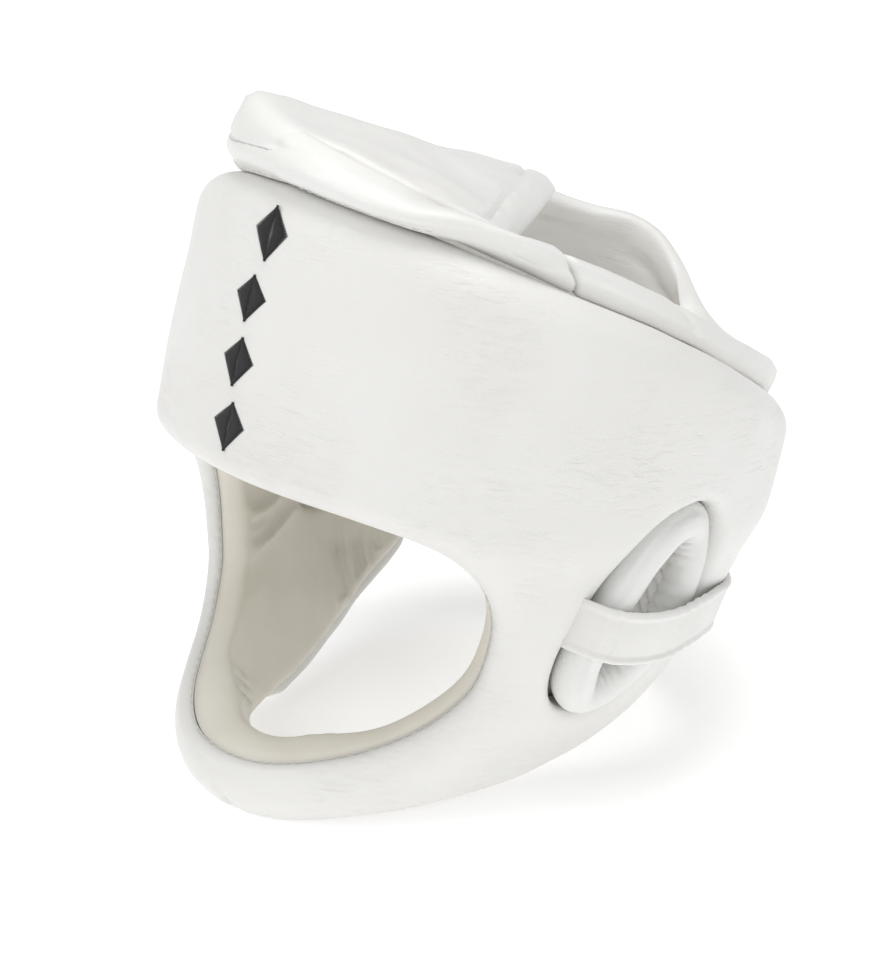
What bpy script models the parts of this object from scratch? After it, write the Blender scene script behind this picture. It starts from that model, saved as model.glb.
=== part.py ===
"""Padded karate headgear for the whole head, closed under the chin, resting tilted back.

Lengths are metres. The gear is laid out upright on the wearer's head: X points to the
wearer's left, -Y to the front and Z up, and height zero is the underside of the chin pad.
At the end it leans back until chin pad and nape pad both touch the ground.
"""
import math

import bmesh
import bpy
import numpy as np
from mathutils import Matrix, Vector
from mathutils.geometry import delaunay_2d_cdt

for old in list(bpy.data.objects):
    bpy.data.objects.remove(old, do_unlink=True)

# Driving sizes of the head hollow and of the padded wall.
HEAD_WIDTH = 0.156
HEAD_LENGTH = 0.186
SHELL_HEIGHT = 0.231
SHELL_THICK = 0.020
LINING_THICK = 0.007
GAP = 0.0003

# Wall thickness by height: the chin loop is thinner than the forehead.
# height: share of SHELL_HEIGHT; thick: share of the full thickness.
WALL = (
    # height, thick
    (0.00, 0.62),
    (0.20, 0.62),
    (0.40, 0.67),
    (0.50, 0.78),
    (0.58, 1.00),
    (1.15, 1.00),
)

# Lining thickness by height: it swells into a soft cushion at the chin.
LINING_PAD = (
    # height, thick
    (0.00, 1.50),
    (0.20, 1.45),
    (0.33, 1.00),
    (1.15, 1.00),
)

# Ear rings, strap and soft pads.
EAR_RING_LENGTH = 0.079
EAR_RING_WIDTH = 0.045
EAR_RING_TUBE = 0.0145
EAR_RING_DEPTH = 0.0170
EAR_RING_LEAN = math.radians(22.0)
STRAP_WIDTH = 0.020
STRAP_THICK = 0.0026
BAND_THICK = 0.015
PANEL_THICK = 0.008
NAPE_THICK = 0.013

# Mesh spacing on the shell and on the lining.
SHELL_STEP = 0.0115
LINING_STEP = 0.0160
UNROLL = 0.100

# Head form: the plan of the seam face between shell and lining at each height.
# height: share of SHELL_HEIGHT; side: share of half HEAD_WIDTH;
# front, rear: shares of half HEAD_LENGTH.
FORM = (
    # height, side, front, rear
    (0.000, 0.47, 0.79, 0.68),
    (0.120, 0.59, 0.975, 0.74),
    (0.216, 0.73, 1.07, 0.76),
    (0.300, 0.85, 1.095, 0.78),
    (0.400, 0.945, 1.075, 0.80),
    (0.498, 1.00, 1.03, 0.86),
    (0.615, 1.00, 1.00, 0.955),
    (0.823, 1.00, 0.925, 0.985),
    (1.000, 0.96, 0.85, 0.95),
    (1.150, 0.76, 0.68, 0.77),
)
FORM_POWER = 2.1

# Outline of the shell, the same on both sides. angle: degrees from the front centre;
# low, top: shares of SHELL_HEIGHT.
OUTLINE = (
    # angle, low, top
    (0.0, 0.060, 1.000),
    (20.0, 0.064, 0.990),
    (40.0, 0.083, 0.965),
    (60.0, 0.108, 0.929),
    (80.0, 0.145, 0.886),
    (90.0, 0.185, 0.857),
    (99.0, 0.235, 0.827),
    (106.0, 0.280, 0.804),
    (112.0, 0.325, 0.786),
    (119.0, 0.380, 0.766),
    (128.0, 0.450, 0.740),
    (141.0, 0.520, 0.713),
    (152.0, 0.550, 0.700),
    (180.0, 0.565, 0.690),
)

# Face opening, right half from chin to brow; the left half mirrors it.
FACE = (
    # angle, height
    (0.0, 0.150),
    (16.0, 0.155),
    (31.0, 0.175),
    (45.0, 0.208),
    (55.0, 0.253),
    (61.0, 0.315),
    (61.5, 0.377),
    (60.0, 0.435),
    (56.0, 0.485),
    (50.0, 0.522),
    (43.0, 0.546),
    (33.0, 0.562),
    (20.0, 0.572),
    (0.0, 0.575),
)

# Crown rim: closed loop in plan, from the front centre round by the wearer's left.
# The pads have slumped to the left, so the loop is not symmetric.
# side, rear: shares of half HEAD_WIDTH and half HEAD_LENGTH; height: share of SHELL_HEIGHT;
# thick: share of BAND_THICK; foot: share of SHELL_THICK from the seam face to the pad's base.
CROWN_RIM = (
    # angle on the shell below, side, rear, height, thick, foot
    (0.0, 0.00, -1.11, 1.098, 1.00, 0.50),
    (15.0, 0.30, -1.06, 1.075, 1.00, 0.50),
    (28.0, 0.53, -0.97, 1.055, 1.00, 0.48),
    (40.0, 0.66, -0.83, 1.035, 0.92, 0.42),
    (52.0, 0.78, -0.70, 1.012, 0.82, 0.36),
    (65.0, 0.87, -0.48, 0.972, 0.72, 0.30),
    (78.0, 0.88, -0.24, 0.940, 0.68, 0.30),
    (92.0, 0.85, 0.01, 0.905, 0.68, 0.30),
    (110.0, 0.74, 0.33, 0.862, 0.68, 0.30),
    (130.0, 0.50, 0.66, 0.825, 0.70, 0.30),
    (155.0, 0.21, 0.94, 0.800, 0.80, 0.30),
    (180.0, 0.00, 1.04, 0.835, 0.80, 0.30),
    (200.0, -0.17, 1.05, 0.890, 0.80, 0.30),
    (215.0, -0.30, 1.00, 0.920, 0.80, 0.30),
    (232.0, -0.44, 0.89, 0.940, 0.80, 0.30),
    (250.0, -0.53, 0.72, 0.960, 0.85, 0.30),
    (268.0, -0.60, 0.45, 0.998, 0.90, 0.30),
    (285.0, -0.70, 0.10, 1.030, 0.95, 0.30),
    (302.0, -0.73, -0.30, 1.062, 1.00, 0.30),
    (320.0, -0.64, -0.67, 1.094, 1.00, 0.36),
    (340.0, -0.41, -1.00, 1.118, 1.00, 0.45),
    (360.0, 0.00, -1.11, 1.098, 1.00, 0.50),
)
FRONT_BAND_ENDS = (-97.0, 62.0)
REAR_BAND_ENDS = (64.0, 262.0)

# Strap from ear to ear round the nape. out: shares of SHELL_THICK off the seam face.
STRAP = (
    # angle, height, out
    (74.0, 0.455, 1.04),
    (80.0, 0.440, 1.18),
    (90.0, 0.428, 1.24),
    (100.0, 0.424, 1.15),
    (108.0, 0.424, 1.03),
    (116.0, 0.424, 0.88),
    (124.0, 0.420, 0.72),
    (138.0, 0.410, 0.68),
    (152.0, 0.400, 0.78),
    (180.0, 0.390, 0.91),
)

# Nape pad below the rear edge of the shell. out: share of SHELL_THICK off the seam face.
NAPE = (
    # angle, low, out
    (121.0, 0.400, -0.05),
    (128.0, 0.385, -0.04),
    (136.0, 0.360, 0.00),
    (143.0, 0.335, 0.05),
    (150.0, 0.300, 0.10),
    (160.0, 0.250, 0.15),
    (170.0, 0.208, 0.18),
    (180.0, 0.196, 0.20),
)

HALF_W = HEAD_WIDTH / 2.0
HALF_L = HEAD_LENGTH / 2.0


def smooth(rows, x, column):
    """Reads one column of a table at x, smoothly between its rows."""
    xs = [row[0] for row in rows]
    ys = [row[column] for row in rows]
    slopes = []
    for i in range(len(xs)):
        before = max(i - 1, 0)
        after = min(i + 1, len(xs) - 1)
        slopes.append((ys[after] - ys[before]) / (xs[after] - xs[before]))
    x = min(max(x, xs[0]), xs[-1])
    k = 0
    while k < len(xs) - 2 and x > xs[k + 1]:
        k += 1
    width = xs[k + 1] - xs[k]
    t = (x - xs[k]) / width
    keep = (1.0 + 2.0 * t) * (1.0 - t) ** 2 * ys[k] + t * t * (3.0 - 2.0 * t) * ys[k + 1]
    bend = t * (1.0 - t) ** 2 * slopes[k] - t * t * (1.0 - t) * slopes[k + 1]
    return keep + bend * width


def mirrored(rows, angle, column):
    """Reads a table given for one side at any angle round the head, in degrees."""
    turn = abs((angle + 180.0) % 360.0 - 180.0)
    return smooth(rows, turn, column)


def form_plain(angle, height):
    """Point of the seam face between shell and lining; angle in degrees, height in metres."""
    share = height / SHELL_HEIGHT
    side = smooth(FORM, share, 1) * HALF_W + LINING_THICK
    front = smooth(FORM, share, 2) * HALF_L + LINING_THICK
    rear = smooth(FORM, share, 3) * HALF_L + LINING_THICK
    s = math.sin(math.radians(angle))
    c = math.cos(math.radians(angle))
    reach = front if c > 0.0 else rear
    power = 2.0 / FORM_POWER
    x = side * math.copysign(abs(s) ** power, s)
    y = -reach * math.copysign(abs(c) ** power, c)
    return Vector((x, y, height))


def form(angle, height, out=0.0):
    """Point of the head form moved outward along its normal."""
    here = form_plain(angle, height)
    if out == 0.0:
        return here
    around = form_plain(angle + 1.5, height) - form_plain(angle - 1.5, height)
    up = form_plain(angle, height + 0.003) - form_plain(angle, height - 0.003)
    normal = around.cross(up).normalized()
    return here + normal * out


def resample(points, step, closed):
    """Points at an even spacing along a smooth curve through the given ones."""
    count = len(points)
    fine = []
    spans = count if closed else count - 1
    for i in range(spans):
        if closed:
            p0, p1, p2, p3 = (Vector(points[(i + k - 1) % count]) for k in range(4))
        else:
            p0, p1, p2, p3 = (Vector(points[min(max(i + k - 1, 0), count - 1)]) for k in range(4))
        for k in range(12):
            t = k / 12.0
            fine.append(
                0.5 * (2.0 * p1 + (p2 - p0) * t + (2.0 * p0 - 5.0 * p1 + 4.0 * p2 - p3) * t * t
                       + (3.0 * p1 - p0 - 3.0 * p2 + p3) * t ** 3))
    fine.append(Vector(points[0] if closed else points[-1]))
    lengths = [0.0]
    for a, b in zip(fine[:-1], fine[1:]):
        lengths.append(lengths[-1] + (b - a).length)
    pieces = max(int(round(lengths[-1] / step)), 6)
    wanted = np.linspace(0.0, lengths[-1], pieces + 1)
    dims = len(fine[0])
    out = np.stack([np.interp(wanted, lengths, [p[d] for p in fine]) for d in range(dims)], 1)
    return out[:-1] if closed else out


def unrolled(angle, height):
    return (math.radians(angle) * UNROLL, height)


def ear_loop(side, margin, lift=0.0):
    """Outline of an ear opening on the unrolled sheet: the ear ring with some room round it."""
    loop = []
    for k in range(36):
        t = 2.0 * math.pi * k / 36.0
        long = math.sin(t) * (EAR_RING_LENGTH / 2.0 + margin)
        wide = math.cos(t) * (EAR_RING_WIDTH / 2.0 + margin)
        long += lift
        dy = wide * math.cos(EAR_RING_LEAN) + long * math.sin(EAR_RING_LEAN)
        dz = long * math.cos(EAR_RING_LEAN) - wide * math.sin(EAR_RING_LEAN)
        loop.append((side * (math.radians(EAR_ANGLE) * UNROLL + dy), EAR_HEIGHT + dz))
    return loop


EAR_ANGLE = 88.5
EAR_HEIGHT = 0.458 * SHELL_HEIGHT


def inside(point, loop):
    """True where a point of the unrolled sheet lies in a closed outline."""
    x, y = point
    odd = False
    for (x1, y1), (x2, y2) in zip(loop, np.roll(loop, -1, axis=0)):
        if (y1 > y) != (y2 > y) and x < (x2 - x1) * (y - y1) / (y2 - y1) + x1:
            odd = not odd
    return odd


def distance(points, loop, closed):
    """Distance of many points from an outline on the unrolled sheet."""
    a = np.asarray(loop)
    b = np.roll(a, -1, axis=0)
    if not closed:
        a, b = a[:-1], b[:-1]
    best = np.full(len(points), 1.0)
    for start, end in zip(a, b):
        along = end - start
        t = np.clip((points - start) @ along / (along @ along), 0.0, 1.0)
        best = np.minimum(best, np.linalg.norm(points - start - t[:, None] * along, axis=1))
    return best


def round_off(d, radius):
    """Share of full thickness at a distance from a rounded edge."""
    t = np.clip(d / radius, 0.0, 1.0)
    return np.sqrt(1.0 - (1.0 - t) ** 2)


def sheet_mesh(inset, ear_room, ear_lift, step, outer, edge, inner, ring_shares, profile):
    """Closed wall over the head form with rounded edges round every outline.

    outer, edge and inner are distances off the seam face; inset moves all outlines inward;
    profile is the table of thickness by height.
    """
    half = math.pi * UNROLL
    lower = [(math.radians(a) * UNROLL, mirrored(OUTLINE, a, 1) * SHELL_HEIGHT + inset)
             for a in range(-180, 181, 6)]
    upper = [(math.radians(a) * UNROLL, mirrored(OUTLINE, a, 2) * SHELL_HEIGHT - inset)
             for a in range(-180, 181, 6)]
    face = [unrolled(row[0], row[1] * SHELL_HEIGHT) for row in FACE]
    face += [(-u, h) for u, h in reversed(face[1:-1])]
    centre = Vector((0.0, 0.39 * SHELL_HEIGHT))
    face = [Vector(p) + (Vector(p) - centre).normalized() * inset for p in face]
    lower = resample(lower, step, False)
    upper = resample(upper, step, False)
    holes = [resample(face, step, True)]
    for side in (1.0, -1.0):
        holes.append(resample(ear_loop(side, ear_room, ear_lift), step, True))
    radius = max(outer - edge, edge - inner)

    points = []
    edges = []

    def add_line(line, closed):
        first = len(points)
        points.extend(tuple(p) for p in line)
        edges.extend((first + i, first + i + 1) for i in range(len(line) - 1))
        if closed:
            edges.append((first + len(line) - 1, first))

    add_line(lower, False)
    add_line(upper, False)
    for hole in holes:
        add_line(hole, True)
    side_count = max(int((upper[0][1] - lower[0][1]) / step), 2)
    sides = np.linspace(lower[0][1], upper[0][1], side_count + 1)[1:-1]
    loops = [(lower, False), (upper, False)] + [(hole, True) for hole in holes]
    for share in ring_shares:
        room = share * radius
        started = len(points)
        for line, sign in ((lower, 1.0), (upper, -1.0)):
            for i in range(1, len(line) - 1):
                along = line[i + 1] - line[i - 1]
                normal = np.array((-along[1], along[0])) / np.linalg.norm(along)
                points.append(tuple(line[i] + normal * room * sign))
            for end in (0, -1):
                points.append((line[end][0], line[end][1] + room * sign))
        for hole in holes:
            area = sum(a[0] * b[1] - b[0] * a[1] for a, b in zip(hole, np.roll(hole, -1, axis=0)))
            turn = 1.0 if area > 0.0 else -1.0
            for i in range(len(hole)):
                along = hole[(i + 1) % len(hole)] - hole[i - 1]
                normal = np.array((along[1], -along[0])) / np.linalg.norm(along) * turn
                points.append(tuple(hole[i] + normal * room))
        # Where outlines bend tightly or pass close by, some of these points crowd: leave them out.
        fresh = np.array(points[started:])
        near = np.min([distance(fresh, line, closed) for line, closed in loops], axis=0)
        del points[started:]
        for spot, gap in zip(fresh, near):
            alone = all(math.hypot(spot[0] - p[0], spot[1] - p[1]) > 0.45 * step
                        for p in points[started:])
            if gap > 0.93 * room and (alone or abs(abs(spot[0]) - half) < 1e-6):
                points.append(tuple(spot))
    rim_room = ring_shares[-1] * radius
    grid = []
    rows = int(SHELL_HEIGHT / (step * 0.87)) + 1
    across = int(round(2.0 * half / step))
    for j in range(rows):
        height = (j + 0.5) * step * 0.87
        for i in range(across + (0 if j % 2 else 1)):
            shift = 0.5 if j % 2 else 0.0
            grid.append((-half + (i + shift) * 2.0 * half / across, height))
    grid = np.array(grid)
    far = np.minimum(distance(grid, lower, False), distance(grid, upper, False))
    for hole in holes:
        far = np.minimum(far, distance(grid, hole, True))
    low_at = np.interp(grid[:, 0], lower[:, 0], lower[:, 1])
    top_at = np.interp(grid[:, 0], upper[:, 0], upper[:, 1])
    good = (far > rim_room + 0.55 * step) & (grid[:, 1] > low_at) & (grid[:, 1] < top_at)
    for spot, keep in zip(grid, good):
        if keep and not any(inside(spot, hole) for hole in holes):
            points.append(tuple(spot))
    seam_rows = [p[1] for p in points if abs(p[0] + half) < 1e-6]
    for height in sides:
        if min(abs(height - other) for other in seam_rows) > 0.45 * step:
            points.append((-half, height))
            points.append((half, height))

    result = delaunay_2d_cdt([Vector(p) for p in points], edges, [], 0, 1e-7)
    flat = np.array([tuple(v) for v in result[0]])
    triangles = []
    for tri in result[2]:
        middle = flat[list(tri)].mean(axis=0)
        if middle[1] < np.interp(middle[0], lower[:, 0], lower[:, 1]):
            continue
        if middle[1] > np.interp(middle[0], upper[:, 0], upper[:, 1]):
            continue
        if any(inside(middle, hole) for hole in holes):
            continue
        triangles.append(tuple(tri))
    d = np.minimum(distance(flat, lower, False), distance(flat, upper, False))
    for hole in holes:
        d = np.minimum(d, distance(flat, hole, True))
    on_edge = d < 1e-6

    # Weld the two sides of the cut at the back.
    names = {}
    index = []
    for u, h in flat:
        key = (round(-half if abs(u - half) < 1e-6 else u, 6), round(h, 6))
        names.setdefault(key, len(names))
        index.append(names[key])
    count = len(names)
    verts = [None] * count
    twin = [None] * count
    inner_verts = []
    out_reach = edge + (outer - edge) * round_off(d, outer - edge)
    in_reach = edge - (edge - inner) * round_off(d, edge - inner)
    for k, (u, h) in enumerate(flat):
        if verts[index[k]] is not None:
            continue
        angle = math.degrees(u / UNROLL)
        thin = smooth(profile, h / SHELL_HEIGHT, 1)
        skin = inner if outer > 0.0 else inner * thin
        if on_edge[k]:
            verts[index[k]] = form(angle, h, edge * thin)
            twin[index[k]] = index[k]
        else:
            verts[index[k]] = form(angle, h, out_reach[k] * thin)
            twin[index[k]] = count + len(inner_verts)
            inner_verts.append(form(angle, h, skin + (in_reach[k] - inner) * thin))
    faces = []
    for a, b, c in triangles:
        a, b, c = index[a], index[b], index[c]
        if len({a, b, c}) < 3:
            continue
        faces.append((a, b, c))
        faces.append((twin[c], twin[b], twin[a]))
    return verts + inner_verts, faces


def ring_mesh(sections, closed):
    """Skin over a row of equal rings of points; open rows get flat ends."""
    verts = [p for ring in sections for p in ring]
    n = len(sections[0])
    m = len(sections)
    faces = []
    for i in range(m if closed else m - 1):
        j = (i + 1) % m
        for k in range(n):
            l = (k + 1) % n
            faces.append((i * n + k, i * n + l, j * n + l, j * n + k))
    if not closed:
        faces.append(tuple(reversed(range(n))))
        faces.append(tuple((m - 1) * n + k for k in range(n)))
    return verts, faces


MATERIALS = {
    "white_leather": ((0.86, 0.86, 0.84, 1.0), 0.45),
    "white_ear_leather": ((0.83, 0.83, 0.81, 1.0), 0.50),
    "white_crown_leather": ((0.88, 0.88, 0.86, 1.0), 0.45),
    "cream_lining": ((0.72, 0.68, 0.56, 1.0), 0.55),
    "white_strap": ((0.84, 0.84, 0.82, 1.0), 0.55),
}
PIECES = []


def make(name, verts, faces, material):
    """Builds one piece with its own material and faces turned outward."""
    mesh = bpy.data.meshes.new(name)
    mesh.from_pydata([tuple(v) for v in verts], [], [tuple(f) for f in faces])
    bm = bmesh.new()
    bm.from_mesh(mesh)
    bmesh.ops.recalc_face_normals(bm, faces=bm.faces)
    if bm.calc_volume(signed=True) < 0.0:
        bmesh.ops.reverse_faces(bm, faces=bm.faces)
    bmesh.ops.triangulate(bm, faces=[f for f in bm.faces if len(f.verts) > 4])
    bm.to_mesh(mesh)
    bm.free()
    piece = bpy.data.objects.new(name, mesh)
    bpy.context.collection.objects.link(piece)
    colour, rough = MATERIALS[material]
    look = bpy.data.materials.get(material + "_" + name)
    if look is None:
        look = bpy.data.materials.new(material + "_" + name)
        look.use_nodes = True
        shader = look.node_tree.nodes["Principled BSDF"]
        shader.inputs["Base Color"].default_value = colour
        shader.inputs["Roughness"].default_value = rough
    mesh.materials.append(look)
    for polygon in mesh.polygons:
        polygon.use_smooth = True
    PIECES.append(piece)
    return piece


# Shell and lining.
verts, faces = sheet_mesh(0.0, 0.0005, 0.0, SHELL_STEP, SHELL_THICK, 0.36 * SHELL_THICK, GAP / 2.0,
                          (0.10, 0.42, 0.95), WALL)
make("main_shell", verts, faces, "white_leather")
verts, faces = sheet_mesh(0.0008, -0.0100, 0.0100, LINING_STEP, -1.2 * GAP,
                          -0.32 * LINING_THICK, -LINING_THICK, (0.35, 1.00), LINING_PAD)
make("lining", verts, faces, "cream_lining")


def rim_point(angle):
    """Point of the crown rim above the shell at an angle, in degrees."""
    turn = angle % 360.0
    side = smooth(CROWN_RIM, turn, 1) * HALF_W
    rear = smooth(CROWN_RIM, turn, 2) * HALF_L
    return Vector((side, rear, smooth(CROWN_RIM, turn, 3) * SHELL_HEIGHT))


def crown_line(angle):
    """Middle line of the crown pad at an angle: its base, its rim and its thickness.

    Where the pad lies flat it is raised by half its thickness to rest on the shell.
    """
    height = mirrored(OUTLINE, angle, 2) * SHELL_HEIGHT
    base = form(angle, height, smooth(CROWN_RIM, angle % 360.0, 5) * SHELL_THICK)
    rim = rim_point(angle)
    thick = smooth(CROWN_RIM, angle % 360.0, 4) * BAND_THICK
    lie = rim - base
    flat = math.hypot(lie.x, lie.y) / lie.length
    base.z += 0.33 * thick * flat - 2.0 * GAP
    rim.z -= 0.4 * thick * flat
    return base, rim, thick


def padded_strip(base, rim, along, thick, bow, count):
    """Oval section of a soft strip that runs up from base to rim, bulging outward.

    along is the direction in which the strip runs on from here.
    """
    up = rim - base
    length = up.length
    up.normalize()
    out = along.cross(up).normalized()
    ring = []
    for k in range(count):
        t = 2.0 * math.pi * k / count
        along = 0.5 - 0.5 * math.cos(t)
        across = math.copysign(abs(math.sin(t)) ** 0.7, math.sin(t)) * thick / 2.0
        ring.append(base + up * along * length + out * (across + bow * math.sin(math.pi * along)))
    return ring


def crown_band(ends, step, bow, count):
    rings = []
    pieces = int(round((ends[1] - ends[0]) / step))
    for i in range(pieces + 1):
        angle = ends[0] + (ends[1] - ends[0]) * i / pieces
        base, rim, thick = crown_line(angle)
        size = (0.62, 0.90, 1.0)[min(i, pieces - i, 2)]
        height = mirrored(OUTLINE, angle, 2) * SHELL_HEIGHT
        along = form(angle + 2.0, height) - form(angle - 2.0, height)
        rings.append(padded_strip(base, rim, along, thick * size, bow * size, count))
    return rings


verts, faces = ring_mesh(crown_band(FRONT_BAND_ENDS, 7.0, 0.003, 12), False)
make("crown_front_band", verts, faces, "white_crown_leather")
verts, faces = ring_mesh(crown_band(REAR_BAND_ENDS, 7.0, 0.003, 12), False)
make("crown_rear_band", verts, faces, "white_crown_leather")

# Roof panel over the front half, from rim to rim, ending at a hem that runs askew.
PANEL_ROWS = (
    # share of the way back, angle on the left rim, angle on the right rim
    (0.00, 3.0, 357.0),
    (0.15, 16.0, 340.0),
    (0.30, 27.0, 323.0),
    (0.45, 35.0, 310.0),
    (0.60, 43.0, 297.0),
    (0.75, 51.0, 283.0),
    (0.90, 59.0, 268.0),
    (1.00, 64.0, 258.0),
)


def panel_edge(angle):
    """Border of the roof panel: the crown rim moved in by the lean and half the band."""
    base, here, thick = crown_line(angle)
    along = rim_point(angle + 1.0) - rim_point(angle - 1.0)
    inward = Vector((-along.y, along.x, 0.0)).normalized()
    lie = (here - base).normalized()
    upright = max(lie.z, 0.0)
    room = 2.0 * GAP + 0.34 * thick * upright
    room += max(-lie.dot(inward), 0.0) / max(upright, 0.3) * 0.70 * PANEL_THICK
    return here + inward * room - Vector((0.0, 0.0, 0.002 * upright))


columns = 12
top_rows = []
low_rows = []
for r in range(13):
    share = r / 12.0
    left = panel_edge(smooth(PANEL_ROWS, share, 1))
    right = panel_edge(smooth(PANEL_ROWS, share, 2))
    tops = []
    lows = []
    for c in range(columns + 1):
        w = c / columns
        middle = left.lerp(right, w)
        middle.z += 0.004 * math.sin(math.pi * w)
        edge_room = min(w, 1.0 - w, share + 0.02, 1.0 - share + 0.02) * 6.0
        half_thick = PANEL_THICK / 2.0 * float(round_off(np.array(min(edge_room, 1.0)), 1.0))
        on_border = r in (0, 12) or c in (0, columns)
        tops.append(middle + Vector((0.0, 0.0, 0.0 if on_border else half_thick)))
        lows.append(middle - Vector((0.0, 0.0, 0.0 if on_border else half_thick)))
    top_rows.append(tops)
    low_rows.append(lows)
verts = []
names = {}
for r in range(13):
    for c in range(columns + 1):
        names[("t", r, c)] = len(verts)
        verts.append(top_rows[r][c])
        if r in (0, 12) or c in (0, columns):
            names[("b", r, c)] = names[("t", r, c)]
        else:
            names[("b", r, c)] = len(verts)
            verts.append(low_rows[r][c])
faces = []
for r in range(12):
    for c in range(columns):
        corners = ((r, c), (r + 1, c), (r + 1, c + 1), (r, c + 1))
        for layer in ("t", "b"):
            quad = [names[(layer,) + corner] for corner in corners]
            if layer == "b":
                quad.reverse()
            faces.append(tuple(quad))
make("crown_top_panel", verts, faces, "white_crown_leather")


# Ear rings: tubes of oval outline standing in the ear openings.
def ear_ring(side):
    rings = []
    steps = 28
    for i in range(steps):
        t = 2.0 * math.pi * i / steps
        centre = ear_point(side, t, 0.0)
        ahead = ear_point(side, t + 0.05, 0.0)
        along = (ahead - centre).normalized()
        outward = Vector((side, 0.0, 0.0))
        across = along.cross(outward).normalized()
        outward = across.cross(along).normalized() * side
        ring = []
        for k in range(10):
            q = 2.0 * math.pi * k / 10
            ring.append(centre + across * math.cos(q) * EAR_RING_TUBE / 2.0
                        + outward * math.sin(q) * EAR_RING_DEPTH / 2.0 * side)
        rings.append(ring)
    return rings


def ear_point(side, t, out):
    long = math.sin(t) * (EAR_RING_LENGTH - EAR_RING_TUBE) / 2.0
    wide = math.cos(t) * (EAR_RING_WIDTH - EAR_RING_TUBE) / 2.0
    dy = wide * math.cos(EAR_RING_LEAN) + long * math.sin(EAR_RING_LEAN)
    dz = long * math.cos(EAR_RING_LEAN) - wide * math.sin(EAR_RING_LEAN)
    angle = EAR_ANGLE + math.degrees(dy / UNROLL)
    return form(side * angle, EAR_HEIGHT + dz, 0.62 * SHELL_THICK + out)


for side, word in ((1.0, "left"), (-1.0, "right")):
    verts, faces = ring_mesh(ear_ring(side), True)
    make("ear_ring_" + word, verts, faces, "white_ear_leather")

# Strap from ear to ear round the nape.
rings = []
for angle in np.linspace(74.0, 286.0, 37):
    fold = min(angle, 360 - angle)
    height = smooth(STRAP, fold, 1) * SHELL_HEIGHT
    out = smooth(STRAP, fold, 2) * SHELL_THICK
    here = form(angle, height, out)
    tilt = (form(angle, height + 0.004, out) - form(angle, height - 0.004, out)).normalized()
    outward = (form(angle, height, out + 0.001) - here).normalized()
    w = STRAP_WIDTH / 2.0
    h = STRAP_THICK / 2.0
    corners = ((-w, -0.5 * h), (-w + h, -h), (w - h, -h), (w, -0.5 * h),
               (w, 0.5 * h), (w - h, h), (-w + h, h), (-w, 0.5 * h))
    rings.append([here + tilt * a + outward * b for a, b in corners])
verts, faces = ring_mesh(rings, False)
make("neck_strap", verts, faces, "white_strap")

# Nape pad, hanging below the rear edge of the shell.
rings = []
for angle in np.linspace(122.0, 238.0, 19):
    fold = min(angle, 360.0 - angle)
    out = smooth(NAPE, fold, 2) * SHELL_THICK
    low = form(angle, smooth(NAPE, fold, 1) * SHELL_HEIGHT, out)
    high = smooth(OUTLINE, fold, 1) * SHELL_HEIGHT - 2.0 * GAP
    top = form(angle, high, out)
    size = 0.6 if fold < 123.0 else 1.0
    along = form(angle + 2.0, high) - form(angle - 2.0, high)
    rings.append(padded_strip(low, top, along, NAPE_THICK * size, 0.001, 12))
verts, faces = ring_mesh(rings, False)
make("nape_pad", verts, faces, "white_leather")

# Lean back until chin pad and nape pad both touch, then stand on the ground.
cloud = np.array([tuple(v.co) for piece in PIECES for v in piece.data.vertices])
middle = cloud[:, 1].mean()
tilt = 0.0
for _ in range(60):
    turned = cloud[:, 2] * math.cos(tilt) - cloud[:, 1] * math.sin(tilt)
    front = turned[cloud[:, 1] < middle].min()
    rear = turned[cloud[:, 1] >= middle].min()
    tilt += 0.8 * (rear - front) / HEAD_LENGTH
lean = Matrix.Rotation(-tilt, 4, "X")
for piece in PIECES:
    piece.data.transform(lean)
cloud = np.array([tuple(v.co) for piece in PIECES for v in piece.data.vertices])
centre_y = (cloud[:, 1].min() + cloud[:, 1].max()) / 2.0
centre_x = (cloud[:, 0].min() + cloud[:, 0].max()) / 2.0
drop = Matrix.Translation((-centre_x, -centre_y, -cloud[:, 2].min()))
for piece in PIECES:
    piece.data.transform(drop)
    piece.data.update()
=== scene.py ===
"""Looks of the padded karate headgear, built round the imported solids.

Lengths are metres. Shapes are laid out upright on the wearer's head, with X to the wearer's
left, -Y to the front and height zero at the underside of the chin pad, as in the part's own
source. PLACE leans them back onto the ground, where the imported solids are.
"""

import math

import bmesh
import bpy
import numpy as np
from mathutils import Matrix, Vector, noise
from mathutils.geometry import delaunay_2d_cdt


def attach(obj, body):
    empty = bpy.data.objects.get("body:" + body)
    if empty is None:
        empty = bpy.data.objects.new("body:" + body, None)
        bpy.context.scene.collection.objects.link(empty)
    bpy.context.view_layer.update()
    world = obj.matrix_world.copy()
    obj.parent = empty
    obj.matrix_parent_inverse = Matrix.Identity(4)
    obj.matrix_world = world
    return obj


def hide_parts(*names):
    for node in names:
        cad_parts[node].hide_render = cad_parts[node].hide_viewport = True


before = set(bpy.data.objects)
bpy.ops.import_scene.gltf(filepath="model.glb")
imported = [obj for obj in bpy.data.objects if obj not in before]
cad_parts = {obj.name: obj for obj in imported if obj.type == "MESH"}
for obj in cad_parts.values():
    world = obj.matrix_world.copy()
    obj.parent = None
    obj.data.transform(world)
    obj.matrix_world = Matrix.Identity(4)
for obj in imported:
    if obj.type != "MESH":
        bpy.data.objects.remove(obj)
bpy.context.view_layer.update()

# The lean and the shift that stand the gear on the ground.
LEAN = 0.189882
SHIFT_BACK = -0.020134
DROP = -0.028847
PLACE = Matrix.Translation((0.0, SHIFT_BACK, DROP)) @ Matrix.Rotation(-LEAN, 4, "X")

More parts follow.
